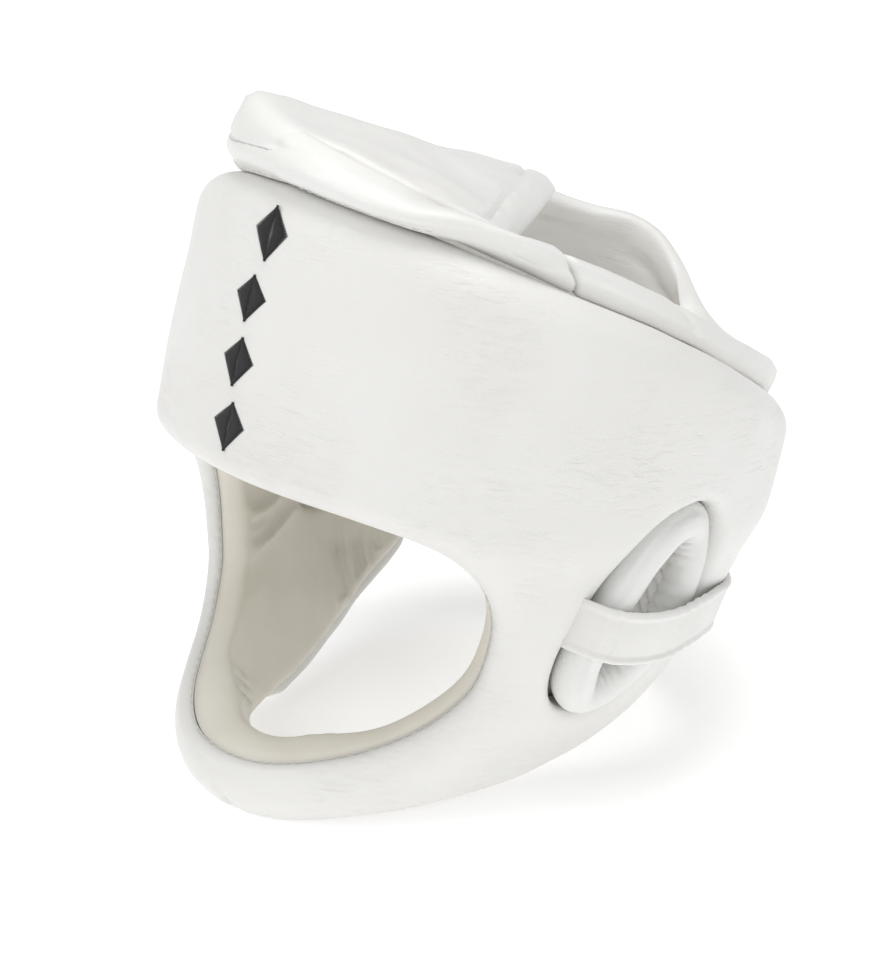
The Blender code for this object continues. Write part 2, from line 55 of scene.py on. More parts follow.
# Sizes shared with the solids.
HEAD_WIDTH = 0.156
HEAD_LENGTH = 0.186
SHELL_HEIGHT = 0.231
SHELL_THICK = 0.020
LINING_THICK = 0.007
GAP = 0.0003
EAR_RING_LENGTH = 0.079
EAR_RING_WIDTH = 0.045
EAR_RING_TUBE = 0.0145
EAR_RING_DEPTH = 0.0170
EAR_RING_LEAN = math.radians(22.0)
EAR_ANGLE = 88.5
EAR_HEIGHT = 0.458 * SHELL_HEIGHT
STRAP_WIDTH = 0.020
STRAP_THICK = 0.0026
BAND_THICK = 0.015
PANEL_THICK = 0.008
NAPE_THICK = 0.013
# Metres of unrolled width to one radian of angle.
UNROLL = 0.100
HALF_W = HEAD_WIDTH / 2.0
HALF_L = HEAD_LENGTH / 2.0

WALL = (
    # height, thick
    (0.00, 0.62),
    (0.20, 0.62),
    (0.40, 0.67),
    (0.50, 0.78),
    (0.58, 1.00),
    (1.15, 1.00),
)
LINING_PAD = (
    # height, thick
    (0.00, 1.50),
    (0.20, 1.45),
    (0.33, 1.00),
    (1.15, 1.00),
)
FORM = (
    # height, side, front, rear
    (0.000, 0.47, 0.79, 0.68),
    (0.120, 0.59, 0.975, 0.74),
    (0.216, 0.73, 1.07, 0.76),
    (0.300, 0.85, 1.095, 0.78),
    (0.400, 0.945, 1.075, 0.80),
    (0.498, 1.00, 1.03, 0.86),
    (0.615, 1.00, 1.00, 0.955),
    (0.823, 1.00, 0.925, 0.985),
    (1.000, 0.96, 0.85, 0.95),
    (1.150, 0.76, 0.68, 0.77),
)
FORM_POWER = 2.1
OUTLINE = (
    # angle, low, top
    (0.0, 0.060, 1.000),
    (20.0, 0.064, 0.990),
    (40.0, 0.083, 0.965),
    (60.0, 0.108, 0.929),
    (80.0, 0.145, 0.886),
    (90.0, 0.185, 0.857),
    (99.0, 0.235, 0.827),
    (106.0, 0.280, 0.804),
    (112.0, 0.325, 0.786),
    (119.0, 0.380, 0.766),
    (128.0, 0.450, 0.740),
    (141.0, 0.520, 0.713),
    (152.0, 0.550, 0.700),
    (180.0, 0.565, 0.690),
)
FACE = (
    # angle, height
    (0.0, 0.150),
    (16.0, 0.155),
    (31.0, 0.175),
    (45.0, 0.208),
    (55.0, 0.253),
    (61.0, 0.315),
    (61.5, 0.377),
    (60.0, 0.435),
    (56.0, 0.485),
    (50.0, 0.522),
    (43.0, 0.546),
    (33.0, 0.562),
    (20.0, 0.572),
    (0.0, 0.575),
)
# The upper edge of the crown pads. It lies a few millimetres off the solids in places, as the
# photo has it.
CROWN_RIM = (
    # angle on the shell below, side, rear, height, thick, foot
    (0.0, 0.00, -1.11, 1.098, 1.00, 0.50),
    (15.0, 0.30, -1.06, 1.075, 1.00, 0.50),
    (28.0, 0.53, -0.97, 1.055, 1.00, 0.48),
    (40.0, 0.66, -0.83, 1.035, 0.92, 0.42),
    (52.0, 0.78, -0.70, 1.012, 0.82, 0.36),
    (65.0, 0.87, -0.48, 0.972, 0.72, 0.30),
    (78.0, 0.88, -0.24, 0.940, 0.68, 0.30),
    (92.0, 0.85, 0.01, 0.905, 0.68, 0.30),
    (110.0, 0.74, 0.33, 0.862, 0.68, 0.34),
    (130.0, 0.50, 0.66, 0.816, 0.70, 0.56),
    (155.0, 0.21, 0.955, 0.792, 0.80, 0.50),
    (180.0, 0.00, 1.075, 0.852, 0.80, 0.30),
    (200.0, -0.17, 1.08, 0.907, 0.80, 0.30),
    (215.0, -0.30, 1.02, 0.932, 0.80, 0.30),
    (232.0, -0.44, 0.89, 0.940, 0.80, 0.30),
    (250.0, -0.53, 0.72, 0.960, 0.85, 0.30),
    (268.0, -0.60, 0.45, 0.998, 0.90, 0.30),
    (285.0, -0.70, 0.10, 1.024, 0.95, 0.30),
    (302.0, -0.73, -0.30, 1.050, 1.00, 0.30),
    (320.0, -0.64, -0.67, 1.081, 1.00, 0.36),
    (340.0, -0.41, -1.00, 1.118, 1.00, 0.45),
    (360.0, 0.00, -1.11, 1.098, 1.00, 0.50),
)
FRONT_BAND_ENDS = (-97.0, 62.6)
REAR_BAND_ENDS = (63.5, 262.0)
STRAP = (
    # angle, height, out
    (72.6, 0.455, 0.60),
    (74.0, 0.455, 0.80),
    (76.5, 0.453, 1.03),
    (80.0, 0.450, 1.17),
    (86.0, 0.446, 1.19),
    (92.0, 0.444, 1.12),
    (98.0, 0.443, 1.00),
    (104.0, 0.442, 0.92),
    (110.0, 0.438, 0.84),
    (116.0, 0.432, 0.80),
    (124.0, 0.424, 0.74),
    (138.0, 0.410, 0.70),
    (152.0, 0.400, 0.78),
    (180.0, 0.390, 0.91),
)
NAPE = (
    # angle, low, out
    (121.0, 0.400, -0.05),
    (128.0, 0.385, -0.04),
    (136.0, 0.360, 0.00),
    (143.0, 0.335, 0.05),
    (150.0, 0.300, 0.10),
    (160.0, 0.250, 0.15),
    (170.0, 0.208, 0.18),
    (180.0, 0.196, 0.20),
)


# Curves and the head form.
def smooth(rows, x, column):
    """Reads one column of a table at x, smoothly between its rows."""
    xs = np.array([row[0] for row in rows])
    ys = np.array([row[column] for row in rows])
    before = np.maximum(np.arange(len(xs)) - 1, 0)
    after = np.minimum(np.arange(len(xs)) + 1, len(xs) - 1)
    slopes = (ys[after] - ys[before]) / (xs[after] - xs[before])
    x = np.clip(x, xs[0], xs[-1])
    k = np.clip(np.searchsorted(xs, x, side="left") - 1, 0, len(xs) - 2)
    width = xs[k + 1] - xs[k]
    t = (x - xs[k]) / width
    keep = (1.0 + 2.0 * t) * (1.0 - t) ** 2 * ys[k] + t * t * (3.0 - 2.0 * t) * ys[k + 1]
    bend = t * (1.0 - t) ** 2 * slopes[k] - t * t * (1.0 - t) * slopes[k + 1]
    return keep + bend * width


def mirrored(rows, angle, column):
    turn = np.abs((np.asarray(angle) + 180.0) % 360.0 - 180.0)
    return smooth(rows, turn, column)


def form_plain(angle, height):
    share = height / SHELL_HEIGHT
    side = smooth(FORM, share, 1) * HALF_W + LINING_THICK
    front = smooth(FORM, share, 2) * HALF_L + LINING_THICK
    rear = smooth(FORM, share, 3) * HALF_L + LINING_THICK
    s = np.sin(np.radians(angle))
    c = np.cos(np.radians(angle))
    reach = np.where(c > 0.0, front, rear)
    power = 2.0 / FORM_POWER
    x = side * np.sign(s) * np.abs(s) ** power
    y = -reach * np.sign(c) * np.abs(c) ** power
    return np.stack(np.broadcast_arrays(x, y, height), -1)


def units(vectors):
    return vectors / np.linalg.norm(vectors, axis=-1, keepdims=True)


def normal_at(angle, height):
    around = form_plain(angle + 1.5, height) - form_plain(angle - 1.5, height)
    up = form_plain(angle, height + 0.003) - form_plain(angle, height - 0.003)
    return units(np.cross(around, up))


def form(angle, height, out=0.0):
    """Points of the seam face between shell and lining, moved outward along its normal."""
    angle = np.asarray(angle, float)
    height = np.asarray(height, float)
    out = np.asarray(out, float)
    angle, height, out = np.broadcast_arrays(angle, height, out)
    return form_plain(angle, height) + normal_at(angle, height) * out[..., None]


def resample(points, step, closed):
    """Points at an even spacing along a smooth curve through the given ones."""
    p = np.asarray(points, float)
    count = len(p)
    fine = []
    for i in range(count if closed else count - 1):
        if closed:
            p0, p1, p2, p3 = (p[(i + k - 1) % count] for k in range(4))
        else:
            p0, p1, p2, p3 = (p[min(max(i + k - 1, 0), count - 1)] for k in range(4))
        for t in np.arange(12) / 12.0:
            fine.append(0.5 * (2.0 * p1 + (p2 - p0) * t
                               + (2.0 * p0 - 5.0 * p1 + 4.0 * p2 - p3) * t * t
                               + (3.0 * p1 - p0 - 3.0 * p2 + p3) * t ** 3))
    fine.append(p[0] if closed else p[-1])
    fine = np.array(fine)
    lengths = np.concatenate([[0.0], np.cumsum(np.linalg.norm(np.diff(fine, axis=0), axis=1))])
    pieces = max(int(round(lengths[-1] / step)), 6)
    wanted = np.linspace(0.0, lengths[-1], pieces + 1)
    out = np.stack([np.interp(wanted, lengths, fine[:, d]) for d in range(p.shape[1])], 1)
    return out[:-1] if closed else out


def ear_turn(long, wide):
    """Leans a point of the upright ear oval: how far back and how high it then lies."""
    c = math.cos(EAR_RING_LEAN)
    s = math.sin(EAR_RING_LEAN)
    return wide * c + long * s, long * c - wide * s


def ear_loop(side, margin, lift):
    """Outline of an ear opening on the unrolled wall."""
    t = 2.0 * math.pi * np.arange(48) / 48
    long = np.sin(t) * (EAR_RING_LENGTH / 2.0 + margin) + lift
    dy, dz = ear_turn(long, np.cos(t) * (EAR_RING_WIDTH / 2.0 + margin))
    return np.stack([side * (math.radians(EAR_ANGLE) * UNROLL + dy), EAR_HEIGHT + dz], 1)


def inside(points, loop):
    a = np.asarray(loop)
    b = np.roll(a, -1, axis=0)
    odd = np.zeros(len(points), bool)
    for (x1, y1), (x2, y2) in zip(a, b):
        if y1 == y2:
            continue
        crosses = (y1 > points[:, 1]) != (y2 > points[:, 1])
        where = (x2 - x1) * (points[:, 1] - y1) / (y2 - y1) + x1
        odd ^= crosses & (points[:, 0] < where)
    return odd


def distance(points, loop, closed):
    a = np.asarray(loop)
    b = np.roll(a, -1, axis=0)
    if not closed:
        a, b = a[:-1], b[:-1]
    best = np.full(len(points), 1.0)
    for first in range(0, len(a), 40):
        start = a[first:first + 40]
        along = b[first:first + 40] - start
        away = points[:, None, :] - start
        t = np.clip((away * along).sum(2) / (along ** 2).sum(1), 0.0, 1.0)
        near = np.linalg.norm(away - t[:, :, None] * along, axis=2).min(1)
        best = np.minimum(best, near)
    return best


def nearest(points, loops):
    """Distance from each point to the closest of several lines."""
    return np.min([distance(points, line, closed) for line, closed in loops], axis=0)


def in_wall(points, lower, upper, holes):
    """Tells which points lie between the wall's two ends and outside its openings."""
    good = points[:, 1] > np.interp(points[:, 0], lower[:, 0], lower[:, 1])
    good &= points[:, 1] < np.interp(points[:, 0], upper[:, 0], upper[:, 1])
    for hole in holes:
        good &= ~inside(points, hole)
    return good


def round_off(d, radius):
    t = np.clip(np.asarray(d) / radius, 0.0, 1.0)
    return np.sqrt(1.0 - (1.0 - t) ** 2)


def soft_noise(points, scale, seed):
    """Smooth noise between -1 and 1 at many points; scale is its wavelength in metres."""
    return np.array([noise.noise(Vector(p) / scale + Vector((seed, seed * 0.7, -seed)))
                     for p in points])


# Walls of shell and lining. The edge of the right side hangs a little lower below the ear.
FAR_DROP = (
    # angle, drop as a share of the height
    (-121.5, 0.0),
    (-117.0, 0.052),
    (-113.0, 0.052),
    (-107.0, 0.034),
    (-100.0, 0.018),
    (-90.0, 0.010),
    (-80.0, 0.018),
    (-72.0, 0.024),
    (-58.0, 0.0),
)


def wall_mesh(inset, under_inset, ear_room, ear_lift, step, rows, skins, fine=()):
    """Closed wall over the head form between an outer and an inner skin.

    inset moves the wall's edges in, under_inset its lower edge at the sides and the back.
    rows are the distances from each edge that get their own row of points. skins gives both
    heights at a point from its angle, height and distances to the face, the ears and the ends.
    fine lists patches with a closer net: lowest and highest angle and height share, and step.
    """
    half = math.pi * UNROLL
    turn = np.arange(-180.0, 181.0, 3.0)
    under = inset + under_inset * np.clip((np.abs(turn) - 58.0) / 14.0, 0.0, 1.0)
    drop = np.interp(turn, [row[0] for row in FAR_DROP], [row[1] for row in FAR_DROP])
    under = under - drop * SHELL_HEIGHT
    along = np.radians(turn) * UNROLL
    lower = np.stack([along, mirrored(OUTLINE, turn, 1) * SHELL_HEIGHT + under], 1)
    upper = np.stack([along, mirrored(OUTLINE, turn, 2) * SHELL_HEIGHT - inset], 1)
    face = [(math.radians(a) * UNROLL, h * SHELL_HEIGHT) for a, h in FACE]
    face += [(-u, h) for u, h in reversed(face[1:-1])]
    face = np.array(face)
    face = face + units(face - np.array((0.0, 0.39 * SHELL_HEIGHT))) * inset
    lower = resample(lower, step, False)
    upper = resample(upper, step, False)
    holes = [resample(face, step, True)]
    for side in (1.0, -1.0):
        holes.append(resample(ear_loop(side, ear_room, ear_lift), step, True))
    loops = [(lower, False), (upper, False)] + [(hole, True) for hole in holes]
    points = []
    edges = []
    for line, closed in loops:
        first = len(points)
        points.extend(line)
        edges.extend((first + i, first + i + 1) for i in range(len(line) - 1))
        if closed:
            edges.append((first + len(line) - 1, first))
    for room in rows:
        fresh = []
        for line, sign in ((lower, 1.0), (upper, -1.0)):
            along = line[2:] - line[:-2]
            normal = units(np.stack([-along[:, 1], along[:, 0]], 1))
            fresh.extend(line[1:-1] + normal * room * sign)
            for end in (0, -1):
                fresh.append(line[end] + np.array((0.0, room * sign)))
        for hole in holes:
            after = np.roll(hole, -1, axis=0)
            area = (hole[:, 0] * after[:, 1] - after[:, 0] * hole[:, 1]).sum()
            along = after - np.roll(hole, 1, axis=0)
            normal = np.stack([along[:, 1], -along[:, 0]], 1) * math.copysign(1.0, area)
            fresh.extend(hole + units(normal) * room)
        fresh = np.array(fresh)
        near = nearest(fresh, loops)
        cell = 0.45 * step
        taken = {}
        for spot, clear in zip(fresh, near):
            here = (int(math.floor(spot[0] / cell)), int(math.floor(spot[1] / cell)))
            crowd = [q for dx in (-1, 0, 1) for dy in (-1, 0, 1)
                     for q in taken.get((here[0] + dx, here[1] + dy), ())]
            alone = all(math.hypot(spot[0] - q[0], spot[1] - q[1]) > cell for q in crowd)
            if clear > 0.93 * room and (alone or abs(abs(spot[0]) - half) < 1e-6):
                taken.setdefault(here, []).append(spot)
                points.append(spot)
    across = int(round(2.0 * half / step))
    grid = []
    for j in range(int(SHELL_HEIGHT / (step * 0.87)) + 1):
        shift = 0.5 if j % 2 else 0.0
        for i in range(across + (0 if j % 2 else 1)):
            grid.append((-half + (i + shift) * 2.0 * half / across, (j + 0.5) * step * 0.87))
    grid = np.array(grid)
    close = np.full(len(grid), step)
    for low_turn, high_turn, low_share, high_share, pitch in fine:
        left = math.radians(low_turn) * UNROLL
        right = math.radians(high_turn) * UNROLL
        bottom = low_share * SHELL_HEIGHT
        top = high_share * SHELL_HEIGHT
        patch = [(left + (i + 0.5 * (j % 2)) * pitch, bottom + j * pitch * 0.87)
                 for j in range(int((top - bottom) / (pitch * 0.87)))
                 for i in range(int((right - left) / pitch))]
        clear = (grid[:, 0] < left - pitch) | (grid[:, 0] > right + pitch)
        clear |= (grid[:, 1] < bottom - pitch) | (grid[:, 1] > top + pitch)
        grid = np.concatenate([grid[clear], np.array(patch)])
        close = np.concatenate([close[clear], np.full(len(patch), pitch)])
    good = nearest(grid, loops) > rows[-1] + 0.55 * close
    points.extend(grid[good & in_wall(grid, lower, upper, holes)])
    seam_rows = [p[1] for p in points if abs(p[0] + half) < 1e-6]
    side_count = max(int((upper[0][1] - lower[0][1]) / step), 2)
    for height in np.linspace(lower[0][1], upper[0][1], side_count + 1)[1:-1]:
        if min(abs(height - other) for other in seam_rows) > 0.45 * step:
            points.append(np.array((-half, height)))
            points.append(np.array((half, height)))
    result = delaunay_2d_cdt([Vector((p[0], p[1])) for p in points], edges, [], 0, 1e-7)
    flat = np.array([tuple(v) for v in result[0]])
    triangles = np.array([tuple(tri) for tri in result[2]])
    triangles = triangles[in_wall(flat[triangles].mean(axis=1), lower, upper, holes)]

    # Weld the two sides of the cut at the back.
    keys = {}
    index = []
    for u, h in flat:
        u = -half if abs(u - half) < 1e-6 else u
        index.append(keys.setdefault((round(u, 6), round(h, 6)), len(keys)))
    index = np.array(index)
    first = np.zeros(len(keys), int)
    first[index[::-1]] = np.arange(len(flat))[::-1]
    spots = flat[first]
    to_ends = nearest(spots, loops[:2])
    to_face = nearest(spots, loops[2:3])
    to_ears = nearest(spots, loops[3:])
    rim = np.minimum(to_ends, np.minimum(to_face, to_ears)) < 1e-6
    angle = np.degrees(spots[:, 0] / UNROLL)
    reach, depth = skins(angle, spots[:, 1], to_face, to_ears, to_ends)
    outside = form(angle, spots[:, 1], reach)
    within = form(angle, spots[:, 1], depth)
    twin = np.where(rim, np.arange(len(first)), len(first) + np.cumsum(~rim) - 1)
    verts = np.concatenate([outside, within[~rim]])
    tris = index[triangles]
    tris = tris[(tris[:, 0] != tris[:, 1]) & (tris[:, 1] != tris[:, 2]) & (tris[:, 0] != tris[:, 2])]
    faces = np.concatenate([tris, twin[tris[:, ::-1]]])
    return verts, faces.tolist()


def ring_mesh(sections, closed):
    """Skin over a row of equal rings of points; open rows get flat ends."""
    verts = [p for ring in sections for p in ring]
    n = len(sections[0])
    m = len(sections)
    faces = []
    for i in range(m if closed else m - 1):
        j = (i + 1) % m
        for k in range(n):
            q = (k + 1) % n
            faces.append((i * n + k, i * n + q, j * n + q, j * n + k))
    if not closed:
        faces.append(tuple(reversed(range(n))))
        faces.append(tuple((m - 1) * n + k for k in range(n)))
    return np.array(verts), faces


def placed(name, data):
    """Makes an object of some data and puts it in the scene."""
    made = bpy.data.objects.new(name, data)
    bpy.context.scene.collection.objects.link(made)
    return made


def piece(name, verts, faces, look, nodes=()):
    """Makes one closed piece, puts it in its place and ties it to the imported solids."""
    mesh = bpy.data.meshes.new(name)
    mesh.from_pydata([tuple(v) for v in verts], [], [tuple(f) for f in faces])
    bm = bmesh.new()
    bm.from_mesh(mesh)
    bmesh.ops.remove_doubles(bm, verts=bm.verts, dist=1e-7)
    bmesh.ops.recalc_face_normals(bm, faces=bm.faces)
    bmesh.ops.triangulate(bm, faces=[f for f in bm.faces if len(f.verts) > 4])
    bm.to_mesh(mesh)
    bm.free()
    mesh.transform(PLACE)
    for polygon in mesh.polygons:
        polygon.use_smooth = True
    made = placed(name, mesh)
    mesh.materials.append(look)
    if nodes:
        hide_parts(*nodes)
    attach(made, "root")


# Materials.
def nodes_of(name):
    look = bpy.data.materials.new(name)
    look.use_nodes = True
    tree = look.node_tree
    shader = tree.nodes["Principled BSDF"]
    return look, tree, shader


def settle(node, values):
    """Gives a node's inputs their fixed values."""
    for name, value in values.items():
        node.inputs[name].default_value = value


def upright(tree, scale):
    """Coordinates of the upright head, stretched by scale."""
    source = tree.nodes.new("ShaderNodeTexCoord")
    turn = tree.nodes.new("ShaderNodeMapping")
    turn.inputs["Rotation"].default_value = (LEAN, 0.0, 0.0)
    size = tree.nodes.new("ShaderNodeMapping")
    size.inputs["Scale"].default_value = scale
    tree.links.new(source.outputs["Object"], turn.inputs["Vector"])
    tree.links.new(turn.outputs["Vector"], size.inputs["Vector"])
    return size.outputs["Vector"]


def noise_node(tree, coords, scale, detail, rough):
    node = tree.nodes.new("ShaderNodeTexNoise")
    settle(node, {"Scale": scale, "Detail": detail, "Roughness": rough})
    tree.links.new(coords, node.inputs["Vector"])
    return node.outputs["Fac"]


def ramp(tree, value, low, high, start=0.0, end=1.0):
    node = tree.nodes.new("ShaderNodeMapRange")
    settle(node, {"From Min": low, "From Max": high, "To Min": start, "To Max": end})
    tree.links.new(value, node.inputs["Value"])
    return node.outputs["Result"]


def bump(tree, height, strength, reach, below=None):
    node = tree.nodes.new("ShaderNodeBump")
    settle(node, {"Strength": strength, "Distance": reach})
    tree.links.new(height, node.inputs["Height"])
    if below is not None:
        tree.links.new(below, node.inputs["Normal"])
    return node.outputs["Normal"]


def mix(tree, share, first, second):
    node = tree.nodes.new("ShaderNodeMix")
    node.data_type = "RGBA"
    tree.links.new(share, node.inputs["Factor"])
    for socket, colour in ((node.inputs[6], first), (node.inputs[7], second)):
        if isinstance(colour, tuple):
            socket.default_value = colour
        else:
            tree.links.new(colour, socket)
    return node.outputs[2]


def leather(name, colour, shade, rough, crease, grain):
    """Coated synthetic leather: fine grain, short shallow creases and slight clouding."""
    look, tree, shader = nodes_of(name)
    even = upright(tree, (1.0, 1.0, 1.0))
    lying = upright(tree, (0.24, 0.24, 1.0))
    clouds = noise_node(tree, even, 14.0, 3.0, 0.55)
    lines = ramp(tree, noise_node(tree, lying, 430.0, 4.0, 0.62), 0.50, 0.70)
    patches = ramp(tree, noise_node(tree, even, 26.0, 3.0, 0.5), 0.40, 0.64)
    crease_marks = tree.nodes.new("ShaderNodeMath")
    crease_marks.operation = "MULTIPLY"
    tree.links.new(lines, crease_marks.inputs[0])
    tree.links.new(patches, crease_marks.inputs[1])
    cells = tree.nodes.new("ShaderNodeTexVoronoi")
    cells.inputs["Scale"].default_value = 1150.0
    tree.links.new(even, cells.inputs["Vector"])
    tone = mix(tree, ramp(tree, clouds, 0.35, 0.70), colour, shade)
    # Along the creases the colour darkens a little towards the second, darker colour.
    tone = mix(tree, ramp(tree, crease_marks.outputs[0], 0.0, 1.0, 0.0, 0.20), tone, shade)
    tree.links.new(tone, shader.inputs["Base Color"])
    tree.links.new(ramp(tree, clouds, 0.3, 0.7, rough - 0.05, rough + 0.07),
                   shader.inputs["Roughness"])
    dents = bump(tree, noise_node(tree, even, 60.0, 2.0, 0.5), 0.22, 0.0006)
    fine = bump(tree, cells.outputs["Distance"], grain, 0.00016, dents)
    deep = bump(tree, crease_marks.outputs[0], crease, -0.0005, fine)
    tree.links.new(deep, shader.inputs["Normal"])
    settle(shader, {"Specular IOR Level": 0.42, "Sheen Weight": 0.06, "Sheen Roughness": 0.5})
    return look


def satin(name, colour, shade):
    """Smooth lining cloth: a fine weave, soft rumples and a low sheen."""
    look, tree, shader = nodes_of(name)
    even = upright(tree, (1.0, 1.0, 1.0))
    clouds = noise_node(tree, even, 22.0, 3.0, 0.6)
    rumples = noise_node(tree, upright(tree, (1.0, 1.0, 0.45)), 95.0, 3.0, 0.55)
    tone = mix(tree, ramp(tree, clouds, 0.32, 0.70), colour, shade)
    tree.links.new(tone, shader.inputs["Base Color"])
    tree.links.new(ramp(tree, clouds, 0.3, 0.7, 0.46, 0.60), shader.inputs["Roughness"])
    skin = bump(tree, rumples, 0.35, 0.0006)
    for way, scale, bend, strength, reach in (
            ("Z", 620.0, 1.4, 0.16, 0.00008), ("DIAGONAL", 560.0, 1.1, 0.10, 0.00006)):
        wave = tree.nodes.new("ShaderNodeTexWave")
        wave.bands_direction = way
        settle(wave, {"Scale": scale, "Distortion": bend})
        tree.links.new(even, wave.inputs["Vector"])
        skin = bump(tree, wave.outputs["Fac"], strength, reach, skin)
    tree.links.new(skin, shader.inputs["Normal"])
    settle(shader, {"Specular IOR Level": 0.35, "Sheen Weight": 0.22, "Sheen Roughness": 0.35})
    return look


shell_look = leather("white_leather", (0.800, 0.795, 0.775, 1.0), (0.765, 0.757, 0.730, 1.0),
                     0.44, 0.55, 0.30)
crown_look = leather("white_crown_leather", (0.820, 0.817, 0.798, 1.0),
                     (0.780, 0.773, 0.748, 1.0), 0.42, 0.40, 0.28)
ear_look = leather("white_ear_leather", (0.800, 0.800, 0.784, 1.0), (0.765, 0.762, 0.742, 1.0),
                   0.40, 0.25, 0.25)
strap_look = leather("white_strap", (0.790, 0.785, 0.766, 1.0), (0.752, 0.745, 0.720, 1.0),
                     0.48, 0.35, 0.45)
thread_look = leather("white_thread", (0.74, 0.735, 0.715, 1.0), (0.68, 0.67, 0.65, 1.0),
                      0.55, 0.2, 0.6)
black_look = leather("black_thread", (0.010, 0.010, 0.011, 1.0), (0.020, 0.020, 0.022, 1.0),
                     0.5, 0.2, 0.6)
lining_look = satin("cream_lining", (0.790, 0.765, 0.690, 1.0), (0.715, 0.680, 0.590, 1.0))


# Where the cream cloth wraps round the face opening, the border between it and the white
# leather lies this far out on the rim.
WRAP = 0.0030
# Radii of the shell's edges at the face, at the lower and upper ends, and at the ears.
FACE_ROUND = 0.0105
END_ROUND = 0.0120
EAR_ROUND = 0.0036
# The pinched seam on the chin: its place left of the middle, depth, half width and pitch.
SEAM_AT = 0.008
SEAM_DEPTH = 0.0024
SEAM_HALF = 0.0017
SEAM_PITCH = 0.0058
# Pitch of the walls' net of points.
NET_STEP = 0.0032


def ease(x):
    x = np.clip(x, 0.0, 1.0)
    return x * x * (3.0 - 2.0 * x)


def border(to_face):
    return WRAP * (1.0 - ease((to_face - 0.003) / 0.013))


# Shell: soft unevenness, a pinched seam down the chin and tight edges at the ears.
def shell_skins(angle, height, face, ear, ends):
    top = SHELL_THICK * smooth(WALL, height / SHELL_HEIGHT, 1)
    base = GAP / 2.0 + border(face)
    by_ear = np.clip(1.0 - ear / 0.016, 0.0, 1.0)
    rim = base + (0.36 + 0.36 * by_ear) * (top - base)
    swell = np.minimum(round_off(face, FACE_ROUND), round_off(ends, END_ROUND))
    swell = np.minimum(swell, round_off(ear, EAR_ROUND))
    points = form(angle, height)
    puff = 0.0006 * soft_noise(points, 0.045, 3.1) + 0.00022 * soft_noise(points, 0.016, 8.3)
    u = np.abs(np.radians(angle) * UNROLL - SEAM_AT)
    low = np.clip((0.20 * SHELL_HEIGHT - height) / 0.012, 0.0, 1.0) * np.where(u < 0.03, 1.0, 0.0)
    puff -= SEAM_DEPTH * np.exp(-(u / SEAM_HALF) ** 1.4) * low
    pucker = np.sin(height * 2.0 * math.pi / SEAM_PITCH + 1.0) * np.exp(-u / 0.0050)
    puff += 0.00045 * pucker * low
    puff *= np.clip(np.minimum(face, np.minimum(ear, ends)) / 0.004, 0.0, 1.0)
    outer = rim + (top - rim) * swell + puff
    under = np.minimum(round_off(face, 0.0004), round_off(np.minimum(ear, ends), 0.0030))
    return outer, rim - (rim - base) * under


verts, faces = wall_mesh(inset=0.0, under_inset=0.0, ear_room=0.0005, ear_lift=0.0, step=NET_STEP,
                         rows=(0.0004, 0.0013, 0.0028, 0.0048, 0.0074, 0.0104), skins=shell_skins)
piece("shell_cover", verts, faces, shell_look, ["main_shell"])

# Lining: folds that fan back from the rim, pleats under the ear openings, gathers at the chin.
FOLDS = (
    # four points of angle and height share, then depth and half width in metres
    ((60.5, 0.398), (64.5, 0.393), (70.0, 0.396), (77.0, 0.414), 0.0034, 0.0021),
    ((60.0, 0.336), (64.0, 0.330), (71.0, 0.347), (80.0, 0.380), 0.0036, 0.0021),
    ((60.0, 0.362), (64.0, 0.362), (69.0, 0.366), (73.0, 0.378), 0.0016, 0.0014),
    ((58.0, 0.268), (62.0, 0.262), (66.0, 0.268), (71.0, 0.280), 0.0008, 0.0034),
    ((30.0, 0.178), (38.0, 0.165), (46.0, 0.146), (53.0, 0.124), 0.0030, 0.0018),
    ((24.0, 0.160), (32.0, 0.150), (41.0, 0.134), (49.0, 0.114), 0.0030, 0.0018),
    ((38.0, 0.190), (44.0, 0.176), (50.0, 0.156), (56.0, 0.132), 0.0026, 0.0018),
    ((12.0, 0.166), (20.0, 0.158), (28.0, 0.148), (36.0, 0.132), 0.0011, 0.0018),
    ((62.0, 0.470), (70.0, 0.478), (78.0, 0.500), (85.0, 0.530), 0.0012, 0.0036),
    ((58.0, 0.452), (63.0, 0.448), (69.0, 0.455), (75.0, 0.470), 0.0009, 0.0022),
)


def fold_puff(angle, height):
    """Height of the folds: soft ridges that fade at both ends."""
    spots = np.stack([np.radians(angle) * UNROLL, height], 1)
    puff = np.zeros(len(spots))
    for side in (1.0, -1.0):
        for fold in FOLDS:
            line = [(side * math.radians(a) * UNROLL, h * SHELL_HEIGHT) for a, h in fold[:4]]
            line = resample(line, 0.003, False)
            for k, spot in enumerate(line):
                share = k / (len(line) - 1.0)
                lift = fold[4] * math.sin(math.pi * (0.06 + 0.88 * share)) ** 0.7
                away = np.hypot(spots[:, 0] - spot[0], spots[:, 1] - spot[1])
                puff = np.maximum(puff, lift * np.exp(-(away / fold[5]) ** 1.4))
    return puff


